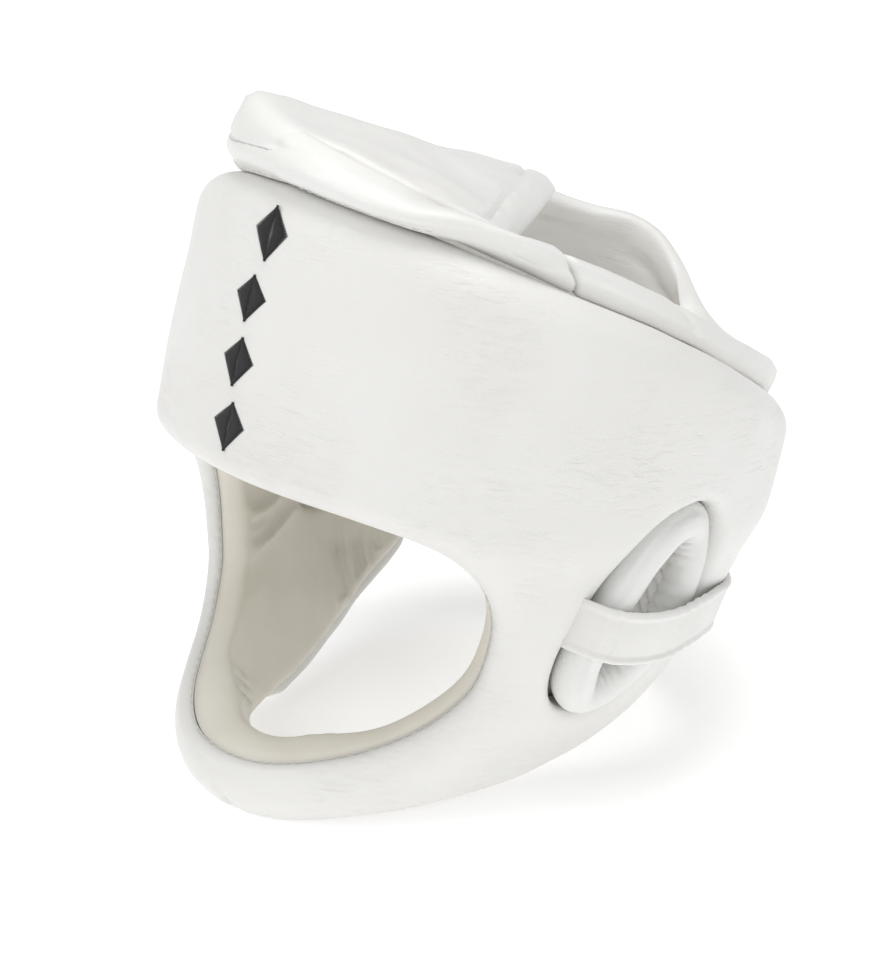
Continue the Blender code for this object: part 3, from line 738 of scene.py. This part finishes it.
def lining_skins(angle, height, face, ear, ends):
    top = border(face + 0.0004) - 0.7 * GAP
    pad = smooth(LINING_PAD, height / SHELL_HEIGHT, 1) * 1.25
    base = -LINING_THICK * (1.0 + (pad - 1.0) * (1.0 - ease((np.abs(angle) - 28.0) / 24.0)))
    rim = top - 0.30 * (top - base)
    rest = np.minimum(ear, ends)
    bend_out = np.minimum(round_off(face, 0.0004), round_off(rest, 0.0030))
    bend_in = np.minimum(round_off(face, 0.0030), round_off(rest, 0.0040))
    points = form(angle, height)
    puff = 0.0006 * soft_noise(points, 0.034, 5.7) + 0.0003 * soft_noise(points, 0.012, 1.9)
    puff += fold_puff(angle, height)
    turn = np.abs(angle)
    share = height / SHELL_HEIGHT
    under = np.exp(-((turn - 96.0) / 11.0) ** 4) * np.clip((0.335 - share) / 0.03, 0.0, 1.0)
    pleat = np.abs(np.sin(turn * math.pi / 3.4 + height * 22.0 + 0.6 * np.sin(turn * 0.9)))
    puff += 0.0024 * under * (0.6 - pleat ** 0.6)
    gather = np.clip((share - 0.55) / 0.05, 0.0, 1.0)
    puff += 0.0006 * gather * np.sin(turn * 2.0 * math.pi / 11.0 + 2.0 * np.sin(height * 60.0))
    puff *= np.clip(np.minimum(face - 0.0015, rest) / 0.004, 0.0, 1.0)
    return rim + (top - rim) * bend_out, rim - (rim - base) * bend_in - puff


patches = []
for side in (1.0, -1.0):
    for low_turn, high_turn, low_share, high_share, pitch in (
            (57.0, 108.0, 0.19, 0.50, 0.00150), (10.0, 52.0, 0.10, 0.24, 0.00170)):
        ends = sorted((side * low_turn, side * high_turn))
        patches.append((ends[0], ends[1], low_share, high_share, pitch))
verts, faces = wall_mesh(inset=0.0004, under_inset=0.0055, ear_room=-0.0100, ear_lift=0.0100,
                         step=NET_STEP, rows=(0.0003, 0.0009, 0.0018, 0.0030, 0.0046),
                         skins=lining_skins, fine=patches)
piece("lining_cloth", verts, faces, lining_look, ["lining"])


# Crown pads.
def rim_point(angle):
    turn = np.asarray(angle, float) % 360.0
    side = smooth(CROWN_RIM, turn, 1) * HALF_W
    rear = smooth(CROWN_RIM, turn, 2) * HALF_L
    return np.stack(np.broadcast_arrays(side, rear, smooth(CROWN_RIM, turn, 3) * SHELL_HEIGHT), -1)


def top_edge(angle):
    """Height of the shell's top edge at an angle."""
    return float(mirrored(OUTLINE, angle, 2)) * SHELL_HEIGHT


def level_way(angle, height):
    """Direction round the head at one height."""
    return form(angle + 2.0, height) - form(angle - 2.0, height)


def crown_line(angle):
    """Middle line of the crown pad at an angle: its base, its rim and its thickness."""
    turn = angle % 360.0
    base = form(angle, top_edge(angle), float(smooth(CROWN_RIM, turn, 5)) * SHELL_THICK)
    rim = rim_point(angle)
    thick = float(smooth(CROWN_RIM, turn, 4)) * BAND_THICK
    lie = rim - base
    flat = math.hypot(lie[0], lie[1]) / np.linalg.norm(lie)
    base[2] += 0.33 * thick * flat - 2.0 * GAP
    rim[2] -= 0.4 * thick * flat
    return base, rim, thick


def unit(v):
    return v / np.linalg.norm(v)


def padded_strip(base, rim, along, thick, bow, count, shape=None):
    """Oval section of a soft strip from base to rim, bulging outward."""
    up = rim - base
    length = np.linalg.norm(up)
    up = up / length
    out = unit(np.cross(along, up))
    t = 2.0 * math.pi * np.arange(count) / count
    share = 0.5 - 0.5 * np.cos(t)
    across = np.sign(np.sin(t)) * np.abs(np.sin(t)) ** 0.7 * thick / 2.0
    across = across + bow * np.sin(math.pi * share)
    if shape is not None:
        across = across + shape(share, np.sin(t) > 0.0, length)
    return base + up * (share * length)[:, None] + out * across[:, None]


BAND_BOW = 0.003


def crown_band(ends, count, around, shape):
    """Rings of points of one crown pad between two angles, with rounded ends."""
    rings = []
    for i in range(count + 1):
        angle = ends[0] + (ends[1] - ends[0]) * i / count
        base, rim, thick = crown_line(angle)
        end_room = min(i, count - i) / count * abs(ends[1] - ends[0])
        size = float(round_off(end_room + 0.45, 1.7))
        along = level_way(angle, top_edge(angle))
        ring = padded_strip(base, rim, along, thick * size, BAND_BOW * size, around,
                            lambda s, o, n: shape(angle, s, o, n) * size)
        middle = ring.mean(axis=0)
        rings.append(middle + (ring - middle) * (0.91 + 0.09 * size))
    return rings


# Height of the rolled lip below the cover's border, along the front band.
LIP = (
    # angle, height in metres
    (-97.0, 0.0110),
    (-60.0, 0.0100),
    (-40.0, 0.0115),
    (-26.0, 0.0116),
    (-12.0, 0.0128),
    (0.0, 0.0142),
    (12.0, 0.0148),
    (20.0, 0.0133),
    (62.0, 0.0160),
)
LAP_SKIN = 0.0011


def lip_share(angle, length):
    return np.clip(float(smooth(LIP, angle, 1)) / length, 0.0, 0.97)


def square_off(angle, share):
    """What turns the oval section of a pad into one with a flatter outer face."""
    half = smooth(CROWN_RIM, angle % 360.0, 4) * BAND_THICK / 2.0
    sine = 2.0 * np.sqrt(np.clip(share * (1.0 - share), 0.0, None))
    return half * (sine ** 0.38 - sine ** 0.7)


def front_shape(angle, share, outer, length):
    """Sewn-down foot, and above the lip a step back that leaves room for the cover."""
    wave = math.sin(math.radians(angle * 21.0)) + 0.6 * math.sin(math.radians(angle * 37.0 + 40.0))
    foot = np.exp(-((share * length - 0.0030) / 0.0020) ** 2)
    change = -0.0014 * foot + 0.00022 * wave * np.exp(-((share * length - 0.0065) / 0.004) ** 2)
    crease = lip_share(angle, length)
    open_up = float(ease((14.0 - angle) / 16.0))
    above = ease((share - crease) * length / 0.0016)
    change = change - 0.0019 * above * open_up * (1.0 - ease((share - 0.80) / 0.20) * 0.6)
    pinch = np.exp(-((share - crease) * length / 0.0021) ** 2)
    change = change - 0.0008 * pinch * open_up
    change = change + 0.0030 * share ** 1.5 * (1.0 - share ** 6) * (1.0 - open_up)
    change = change + square_off(angle, share) * (1.0 - 0.5 * open_up)
    fold = math.exp(-((angle - 54.0) / 5.0) ** 2)
    change = change + 0.0010 * fold * np.sin(share * 9.0 + angle * 0.30)
    return np.where(outer, change, 0.0)


def rear_shape(angle, share, outer, length):
    """Pinched line on the inner face below a rolled upper edge, and a fuller left rear."""
    wave = math.sin(math.radians(angle * 17.0)) + 0.5 * math.sin(math.radians(angle * 29.0))
    far = float(ease((angle - 150.0) / 30.0))
    pinch = np.exp(-(((1.0 - share) * length - 0.0130) / 0.0018) ** 2)
    foot = np.exp(-((share * length - 0.0030) / 0.0020) ** 2)
    inner = 0.0022 * pinch * far + 0.0003 * wave * share * (1.0 - share) * 4.0
    full = float(ease((angle - 100.0) / 24.0)) * float(ease((176.0 - angle) / 24.0))
    tuck = math.exp(-((angle - 94.0) / 1.6) ** 2)
    outside = -0.0012 * foot + 0.0002 * wave * (1.0 - share)
    swell = np.exp(-((share - 0.07) / 0.17) ** 2) * round_off(share, 0.05)
    outside = outside + 0.0050 * full * swell
    outside = outside + square_off(angle, share) * (1.0 - 0.5 * full)
    return np.where(outer, outside - 0.0016 * tuck, inner)


def soften(verts, seed, reach):
    """Uneven filling: the pad's skin wanders a little, level and upright."""
    return verts + reach * soft_noise(verts, 0.021, seed)[:, None] * np.array((0.4, -0.4, 0.8))


verts, faces = ring_mesh(crown_band(FRONT_BAND_ENDS, 200, 56, front_shape), False)
piece("crown_front_pad", soften(verts, 4.4, 0.0005), faces, crown_look,
      ["crown_front_band"])
verts, faces = ring_mesh(crown_band(REAR_BAND_ENDS, 220, 48, rear_shape), False)
piece("crown_rear_pad", soften(verts, 9.2, 0.0006), faces, crown_look,
      ["crown_rear_band"])


# Crown cover: a fan of rays from the lip up over the front pad and back to the hem. The hem
# runs between two angles of the rim and bows back and up; on the right the laps end sooner.
HEM_LEFT = 55.0
HEM_RIGHT = -103.0
LAP_RIGHT = -96.4
HEM_BOW = (0.0, 0.012, 0.0085)
HEM_ROUND = 0.0045
HEM_DROP = 0.0035
HEM_SEAM = 0.0125
SEAM_DIP = 0.0016
COVER_HUMP = 0.0024


def pad_bulge(share, thick):
    """How far a plain oval pad's skin stands out from its middle line."""
    oval = (1.0 - (2.0 * share - 1.0) ** 2) ** 0.35 * thick / 2.0
    return oval + BAND_BOW * math.sin(math.pi * share)


def band_surface(angle, share):
    """Point on the front pad's outer skin and the skin's direction outward."""
    base, rim, thick = crown_line(angle)
    up = rim - base
    length = np.linalg.norm(up)
    up = up / length
    out = unit(np.cross(level_way(angle, top_edge(angle)), up))
    bulge = pad_bulge(share, thick)
    bulge += float(front_shape(angle, np.array(share), np.array(True), length))
    ahead = min(share + 0.03, 1.0)
    slope = (pad_bulge(ahead, thick) - bulge) / max((ahead - share) * length, 1e-4)
    normal = unit(out - up * np.clip(slope, -3.0, 0.5))
    if share > 0.985:
        normal = up
    return base + up * share * length + out * bulge, normal


def hem_point(w):
    """Point of the hem, from its right end at 0 to its left end at 1."""
    left = panel_edge(HEM_LEFT)
    right = panel_edge(HEM_RIGHT)
    arch = math.sin(math.pi * w ** 0.62)
    return right + (left - right) * w + np.array(HEM_BOW) * arch


def panel_edge(angle):
    """Border of the roof solid: the crown rim moved in by the lean and half the band."""
    base, here, thick = crown_line(angle)
    along = rim_point(angle + 1.0) - rim_point(angle - 1.0)
    inward = unit(np.array((-along[1], along[0], 0.0)))
    lie = unit(here - base)
    stand = max(lie[2], 0.0)
    room = 2.0 * GAP + 0.34 * thick * stand
    room += max(-lie.dot(inward), 0.0) / max(stand, 0.3) * 0.70 * PANEL_THICK
    return here + inward * room - np.array((0.0, 0.0, 0.002 * stand))


def relax(net, turns):
    """Smooths a net of points, with its four borders held."""
    for _ in range(turns):
        middle = (net[:-2, 1:-1] + net[2:, 1:-1] + net[1:-1, :-2] + net[1:-1, 2:]) / 4.0
        net[1:-1, 1:-1] += 0.5 * (middle - net[1:-1, 1:-1])
    return net


def cover_mesh(rays, laps, inward):
    """Closed skin of the cover: rays across, laps up the front pad, then inward to the hem."""
    columns = laps + inward
    tops = np.zeros((rays + 1, columns + 1, 3))
    skins = np.zeros((rays + 1, columns + 1))
    downs = np.zeros((rays + 1, columns + 1, 3))
    dips = np.zeros((rays + 1, columns + 1))
    for r in range(rays + 1):
        w = r / rays
        angle = HEM_RIGHT + (HEM_LEFT - HEM_RIGHT) * w
        over = 1.0 - float(ease((angle - HEM_RIGHT) / 40.0))
        over = angle + (LAP_RIGHT - HEM_RIGHT) * over
        base, rim, _ = crown_line(over)
        low = lip_share(over, np.linalg.norm(rim - base))
        tuck = float(ease((angle + 4.0) / 14.0))
        edge = panel_edge(angle)
        end = hem_point(w)
        inner = (end - edge) / max(np.linalg.norm(end - edge), 1e-4)
        for k in range(laps + 1):
            share = low + (0.995 - low) * k / laps
            spot, normal = band_surface(over, share)
            swell = float(round_off(k, 3.0))
            lap = spot + normal * (LAP_SKIN * swell + 0.0009 * k / laps)
            rise = 0.0032 * float(round_off(k, laps))
            lie = edge + inner * 0.005 * k / laps + np.array((0.0, 0.0, rise))
            tops[r, k] = lap * (1.0 - tuck) + lie * tuck
            skins[r, k] = LAP_SKIN * swell
            downs[r, k] = -normal * (1.0 - tuck) - np.array((0.0, 0.0, tuck))
        crest = tops[r, laps].copy()
        reach = np.linalg.norm(end - crest)
        for k in range(1, inward + 1):
            v = k / inward
            from_crest = v * reach
            from_hem = (1.0 - v) * reach
            spot = crest + (end - crest) * v
            hump = COVER_HUMP * math.sin(math.pi * v) ** 0.7 * min(reach / 0.08, 1.0)
            rumple = noise.noise(Vector(tuple(spot / 0.026))) * 0.0026
            rumple += noise.noise(Vector(tuple(spot / 0.012))) * 0.0010
            rumple *= min(from_crest / 0.01, from_hem / 0.01, 1.0)
            round_end = float(round_off(min(r, rays - r) + 0.4, 4.0))
            round_end = float(round_off(from_hem, HEM_ROUND)) * round_end
            lift = hump + rumple - (1.0 - round_end) * HEM_DROP
            tops[r, laps + k] = spot + np.array((0.0, 0.0, lift))
            dip = SEAM_DIP * math.exp(-((from_hem - HEM_SEAM) / 0.0010) ** 2)
            dips[r, laps + k] = dip * min(reach / 0.03, 1.0)
            skin = LAP_SKIN + (PANEL_THICK - LAP_SKIN) * float(ease(from_crest / 0.013))
            skins[r, laps + k] = skin * round_end
            downs[r, laps + k] = (0.0, 0.0, -1.0)
    held = tops.copy()
    tops = relax(tops, 14)
    turns = HEM_RIGHT + (HEM_LEFT - HEM_RIGHT) * np.arange(rays + 1) / rays
    on_lap = 1.0 - ease((np.arange(columns + 1) - laps - 1.0) / 9.0)
    keep = ease((-6.0 - turns) / 24.0)[:, None] * on_lap
    tops += (held - tops) * keep[:, :, None]
    tops[:, :, 2] -= dips
    verts = []
    names = {}
    for r in range(rays + 1):
        for k in range(columns + 1):
            names[("t", r, k)] = len(verts)
            verts.append(tops[r, k])
            if skins[r, k] < 1e-5 or k in (0, columns):
                names[("b", r, k)] = names[("t", r, k)]
            else:
                names[("b", r, k)] = len(verts)
                verts.append(tops[r, k] + unit(downs[r, k]) * skins[r, k])
    faces = []
    for r in range(rays):
        for c in range(columns):
            corners = ((r, c), (r, c + 1), (r + 1, c + 1), (r + 1, c))
            faces.append(tuple(names[("t",) + q] for q in corners))
            faces.append(tuple(names[("b",) + q] for q in reversed(corners)))
    for r, turn in ((0, 1), (rays, -1)):
        for c in range(columns):
            corners = (("t", c), ("b", c), ("b", c + 1), ("t", c + 1))
            quad = [names[(skin, r, k)] for skin, k in corners]
            quad = [q for k, q in enumerate(quad) if q != quad[k - 1]]
            if len(quad) > 2:
                faces.append(tuple(quad[::turn]))
    return np.array(verts), [tuple(dict.fromkeys(f)) for f in faces]


verts, faces = cover_mesh(120, 10, 48)
piece("crown_top_cover", verts, faces, crown_look,
      ["crown_top_panel"])


# Ear rings and the gathered cloth inside them.
def ear_point(side, t, long_half, wide_half, out, lift=0.0):
    long = np.sin(t) * long_half + lift
    dy, dz = ear_turn(long, np.cos(t) * wide_half)
    return form(side * (EAR_ANGLE + np.degrees(dy / UNROLL)), EAR_HEIGHT + dz, out)


def ear_ring(side):
    """Padded ring: round in front, flatter and pleated inside at the back."""
    rings = []
    long_half = (EAR_RING_LENGTH - EAR_RING_TUBE) / 2.0
    wide_half = (EAR_RING_WIDTH - EAR_RING_TUBE) / 2.0
    floor_out = 0.62 * SHELL_THICK - EAR_RING_DEPTH / 2.0
    hub = form(side * EAR_ANGLE, EAR_HEIGHT, 0.62 * SHELL_THICK)
    steps = 240
    for i in range(steps):
        t = 2.0 * math.pi * i / steps
        rear = float(ease(0.5 + 0.9 * math.cos(t)))
        depth = EAR_RING_DEPTH * (1.0 - 0.24 * rear)
        centre = ear_point(side, t, long_half, wide_half, floor_out + depth / 2.0)
        ahead = ear_point(side, t + 0.05, long_half, wide_half, floor_out + depth / 2.0)
        along = unit(ahead - centre)
        across = unit(np.cross(along, np.array((side, 0.0, 0.0))))
        if across.dot(centre - hub) < 0.0:
            across = -across
        outward = unit(np.cross(across, along))
        if outward[0] * side < 0.0:
            outward = -outward
        q = 2.0 * math.pi * np.arange(40) / 40
        swell = 1.0 + 0.02 * math.sin(5.0 * t + side) + 0.012 * math.sin(11.0 * t)
        inner = np.exp(-(((q - math.pi) / 1.0) ** 4))
        folds = abs(math.sin(21.0 * t + 0.8 * math.sin(6.0 * t))) ** 0.5 - 0.75
        crease = np.exp(-((q - 0.95) / 0.10) ** 2) * (1.0 - rear)
        radius = 0.0011 * folds * inner * rear - 0.0007 * crease
        rings.append(centre + across * (np.cos(q) * (EAR_RING_TUBE / 2.0 * swell + radius))[:, None]
                     + outward * (np.sin(q) * (depth / 2.0 * swell + radius))[:, None])
    return rings


def ear_funnel(side):
    """Gathered cloth from the ring's inner face back to the lining, as one thin closed wall."""
    rows = (
        # share, long half, wide half, out, lift
        (0.0, 0.0272, 0.0102, 0.0105, 0.000),
        (0.25, 0.0258, 0.0088, 0.0070, 0.001),
        (0.5, 0.0252, 0.0085, 0.0040, 0.003),
        (0.75, 0.0268, 0.0100, 0.0000, 0.007),
        (1.0, 0.0302, 0.0132, -0.0042, 0.010),
    )
    steps = 180
    t = 2.0 * math.pi * np.arange(steps) / steps
    pleat = np.sin(27.0 * t + 1.5 * np.sin(3.0 * t)) + 0.5 * np.sin(43.0 * t + 1.0)
    sections = []
    for skin in (0.0, 1.0):
        part = []
        for k in range(13):
            s = k / 12.0
            deep = math.sin(math.pi * s) ** 0.7 * 0.0008
            grow = deep * pleat + skin * 0.0009
            part.append(ear_point(side, t, smooth(rows, s, 1) + grow, smooth(rows, s, 2) + grow,
                                  smooth(rows, s, 3), smooth(rows, s, 4)))
        sections.extend(part if skin == 0.0 else part[::-1])
    return sections


def joined(parts):
    verts = []
    faces = []
    for v, f in parts:
        base = len(verts)
        verts.extend(v)
        faces.extend(tuple(base + k for k in face) for face in f)
    return np.array(verts), faces


for side, word in ((1.0, "left"), (-1.0, "right")):
    verts, faces = joined([ring_mesh(ear_ring(side), True), ring_mesh(ear_funnel(side), True)])
    piece("ear_pad_" + word, verts, faces, ear_look,
          ["ear_ring_" + word])


# Strap: a folded strip with a corded edge along both sides.
def strap_mesh():
    rings = []
    turns = np.concatenate([np.linspace(72.6, 80.0, 24)[:-1], np.linspace(80.0, 280.0, 191),
                            np.linspace(280.0, 287.4, 24)[1:]])
    w = STRAP_WIDTH / 2.0
    h = STRAP_THICK / 2.0
    q = np.linspace(-0.5 * math.pi, 1.5 * math.pi, 48, endpoint=False)
    flat = np.sign(np.cos(q)) * np.abs(np.cos(q)) ** 0.35 * w
    cord = 0.0007 * np.exp(-((np.abs(flat) - (w - 0.0013)) / 0.0011) ** 2)
    dip = 0.00045 * np.exp(-((np.abs(flat) - (w - 0.0032)) / 0.0007) ** 2)
    proud = np.sign(np.sin(q)) * (np.abs(np.sin(q)) ** 0.45 * h)
    proud = proud + np.where(np.sin(q) > 0.0, cord - dip, 0.0)
    for angle in turns:
        fold = min(angle, 360.0 - angle)
        height = float(smooth(STRAP, fold, 1)) * SHELL_HEIGHT
        out = float(smooth(STRAP, fold, 2)) * SHELL_THICK
        here = form(angle, height, out)
        tilt = unit(form(angle, height + 0.004, out) - form(angle, height - 0.004, out))
        outward = unit(form(angle, height, out + 0.001) - here)
        ripple = 0.0002 * math.sin(angle * 1.9) + 0.00015 * math.sin(angle * 4.3)
        thin = 0.35 + 0.65 * float(ease((fold - 72.6) / 2.5))
        rings.append(here + tilt * flat[:, None] + outward * (proud * thin + ripple)[:, None])
    return ring_mesh(rings, False)


verts, faces = strap_mesh()
piece("strap_strip", verts, faces, strap_look, ["neck_strap"])

# Nape pad.
rings = []
for angle in np.linspace(122.0, 238.0, 110):
    fold = min(angle, 360.0 - angle)
    out = float(smooth(NAPE, fold, 2)) * SHELL_THICK
    low = form(angle, float(smooth(NAPE, fold, 1)) * SHELL_HEIGHT, out)
    high = float(mirrored(OUTLINE, fold, 1)) * SHELL_HEIGHT - 2.0 * GAP
    top = form(angle, high, out)
    size = float(round_off(fold - 121.6, 5.0))
    along = level_way(angle, high)
    rings.append(padded_strip(low, top, along, NAPE_THICK * size, 0.001, 40))
verts, faces = ring_mesh(rings, False)
verts = verts + 0.0005 * soft_noise(verts, 0.022, 2.2)[:, None] * np.array((0.0, 1.0, 0.4))
piece("nape_flap", verts, faces, shell_look, ["nape_pad"])


# Threads.
def thread(parts, spots, normals, radius, lift):
    """One stitch: a short tube through the given points, sunk at both ends."""
    count = len(spots)
    rings = []
    for k in range(count):
        share = k / (count - 1.0)
        along = unit(spots[min(k + 1, count - 1)] - spots[max(k - 1, 0)])
        up = unit(normals[k])
        side = unit(np.cross(along, up))
        here = spots[k] + up * (lift * math.sin(math.pi * share) - 0.3 * radius)
        size = radius * (0.45 + 0.55 * math.sin(math.pi * share))
        turn = 2.0 * math.pi * np.arange(6) / 6.0
        rings.append(here + side * (np.cos(turn) * size)[:, None] + up * (np.sin(turn) * size)[:, None])
    parts.append(ring_mesh(rings, False))


def stitch_row(spots, normals, length, space, radius, lift):
    """Even stitches along a row of close points."""
    steps = np.concatenate([[0.0], np.cumsum(np.linalg.norm(np.diff(spots, axis=0), axis=1))])
    parts = []
    start = 0.0
    while start + length < steps[-1]:
        wanted = start + length * np.array((0.0, 0.3, 0.7, 1.0))
        here = np.stack([np.interp(wanted, steps, spots[:, d]) for d in range(3)], 1)
        face = np.stack([np.interp(wanted, steps, normals[:, d]) for d in range(3)], 1)
        thread(parts, here, face, radius, lift)
        start += length + space
    return joined(parts)


rows = []
for angle in np.linspace(-93.0, 34.0, 260):
    base, rim, _ = crown_line(angle)
    rows.append(band_surface(angle, 0.0022 / np.linalg.norm(rim - base)))
verts, faces = stitch_row(np.array([row[0] for row in rows]), np.array([row[1] for row in rows]),
                          0.0030, 0.0013, 0.00033, 0.0002)
piece("stitches_crown", verts, faces, thread_look)

line = [(a, h * SHELL_HEIGHT) for a, h in FACE]
line += [(-a, h) for a, h in reversed(line[1:-1])]
line = resample(line + [line[0]], 0.6, False)
spots = form(line[:, 0], line[:, 1], WRAP + 0.0007)
middle = np.array((0.0, -0.02, 0.40 * SHELL_HEIGHT))
verts, faces = stitch_row(spots, units(middle - spots), 0.0026, 0.0014, 0.00026, 0.0001)
piece("stitches_face", verts, faces, thread_look)

# Four plain satin-stitched diamonds down the middle of the forehead.
DIAMONDS = (
    # angle, height share, half width, half height in metres
    (0.8, 0.930, 0.0080, 0.0085),
    (-0.6, 0.835, 0.0075, 0.0082),
    (0.0, 0.742, 0.0075, 0.0082),
    (1.2, 0.650, 0.0075, 0.0082),
)
parts = []
for angle, share, wide, tall in DIAMONDS:
    for k in range(-19, 20):
        level = k / 19.5
        reach = wide * (1.0 - abs(level))
        for side in (1.0, -1.0):
            flat = np.linspace(-side * 0.0004, side * max(reach, 0.0006), 5)
            turn = angle + np.degrees(flat / (HALF_L * 1.18))
            height = share * SHELL_HEIGHT + level * tall + np.abs(flat) * 0.12
            away = np.full(5, 0.05)
            outer, _ = shell_skins(turn, height, away, away, away)
            spots = form(turn, height, outer + 0.0001)
            thread(parts, spots, normal_at(turn, height), 0.00031, 0.00040)
verts, faces = joined(parts)
piece("diamond_stitches", verts, faces, black_look)

# Floor, light and camera.
FLOOR_HALF = 40.0
mesh = bpy.data.meshes.new("floor")
corners = [(x * FLOOR_HALF, y * FLOOR_HALF, 0.0) for x, y in ((-1, -1), (1, -1), (1, 1), (-1, 1))]
mesh.from_pydata(corners, [], [(0, 1, 2, 3)])
floor = placed("floor", mesh)
look, tree, shader = nodes_of("pale_floor")
settle(shader, {"Base Color": (0.80, 0.80, 0.80, 1.0), "Emission Color": (1.0, 1.0, 1.0, 1.0),
                "Emission Strength": 0.42, "Roughness": 0.9, "Specular IOR Level": 0.1})
mesh.materials.append(look)

world = bpy.data.worlds.new("studio")
bpy.context.scene.world = world
world.use_nodes = True
settle(world.node_tree.nodes["Background"], {"Color": (1.0, 1.0, 1.0, 1.0), "Strength": 0.41})
bpy.context.scene.view_settings.view_transform = "Standard"


def softbox(name, place, aim, size, power):
    data = bpy.data.lights.new(name, "AREA")
    data.shape = "RECTANGLE"
    data.size = size
    data.size_y = size
    data.energy = power
    lamp = placed(name, data)
    lamp.location = place
    lamp.rotation_mode = "QUATERNION"
    lamp.rotation_quaternion = (Vector(aim) - Vector(place)).to_track_quat("-Z", "Y")


softbox("key", (-0.6, -1.4, 1.5), (0.0, 0.0, 0.12), 1.3, 11.0)
softbox("top", (0.0, 0.1, 2.0), (0.0, 0.0, 0.2), 1.2, 20.0)
softbox("fill", (1.9, -0.5, 0.8), (0.0, 0.0, 0.12), 1.4, 8.0)

# Camera, set from the photograph in the upright frame and then placed with everything else.
CAM_BACK = Vector((0.6797, -0.6797, 0.2756))
CAM_RIGHT = Vector((0.7071, 0.7071, 0.0))
CAM_UP = Vector((-0.1949, 0.1949, 0.9613))
CAM_ROLL = math.radians(8.0)
CAM_REACH = 1.0
CAM_LENS = 98.25
look_at = CAM_RIGHT * -0.007818 + CAM_UP * 0.115698
right = CAM_RIGHT * math.cos(CAM_ROLL) + CAM_UP * math.sin(CAM_ROLL)
above = CAM_UP * math.cos(CAM_ROLL) - CAM_RIGHT * math.sin(CAM_ROLL)
spot = look_at + CAM_BACK * CAM_REACH
data = bpy.data.cameras.new("camera")
data.lens = CAM_LENS
data.sensor_width = 36.0
camera = placed("camera", data)
axes = Matrix((
    (right.x, above.x, CAM_BACK.x, spot.x),
    (right.y, above.y, CAM_BACK.y, spot.y),
    (right.z, above.z, CAM_BACK.z, spot.z),
    (0.0, 0.0, 0.0, 1.0),
))
camera.matrix_world = PLACE @ axes
bpy.context.scene.camera = camera
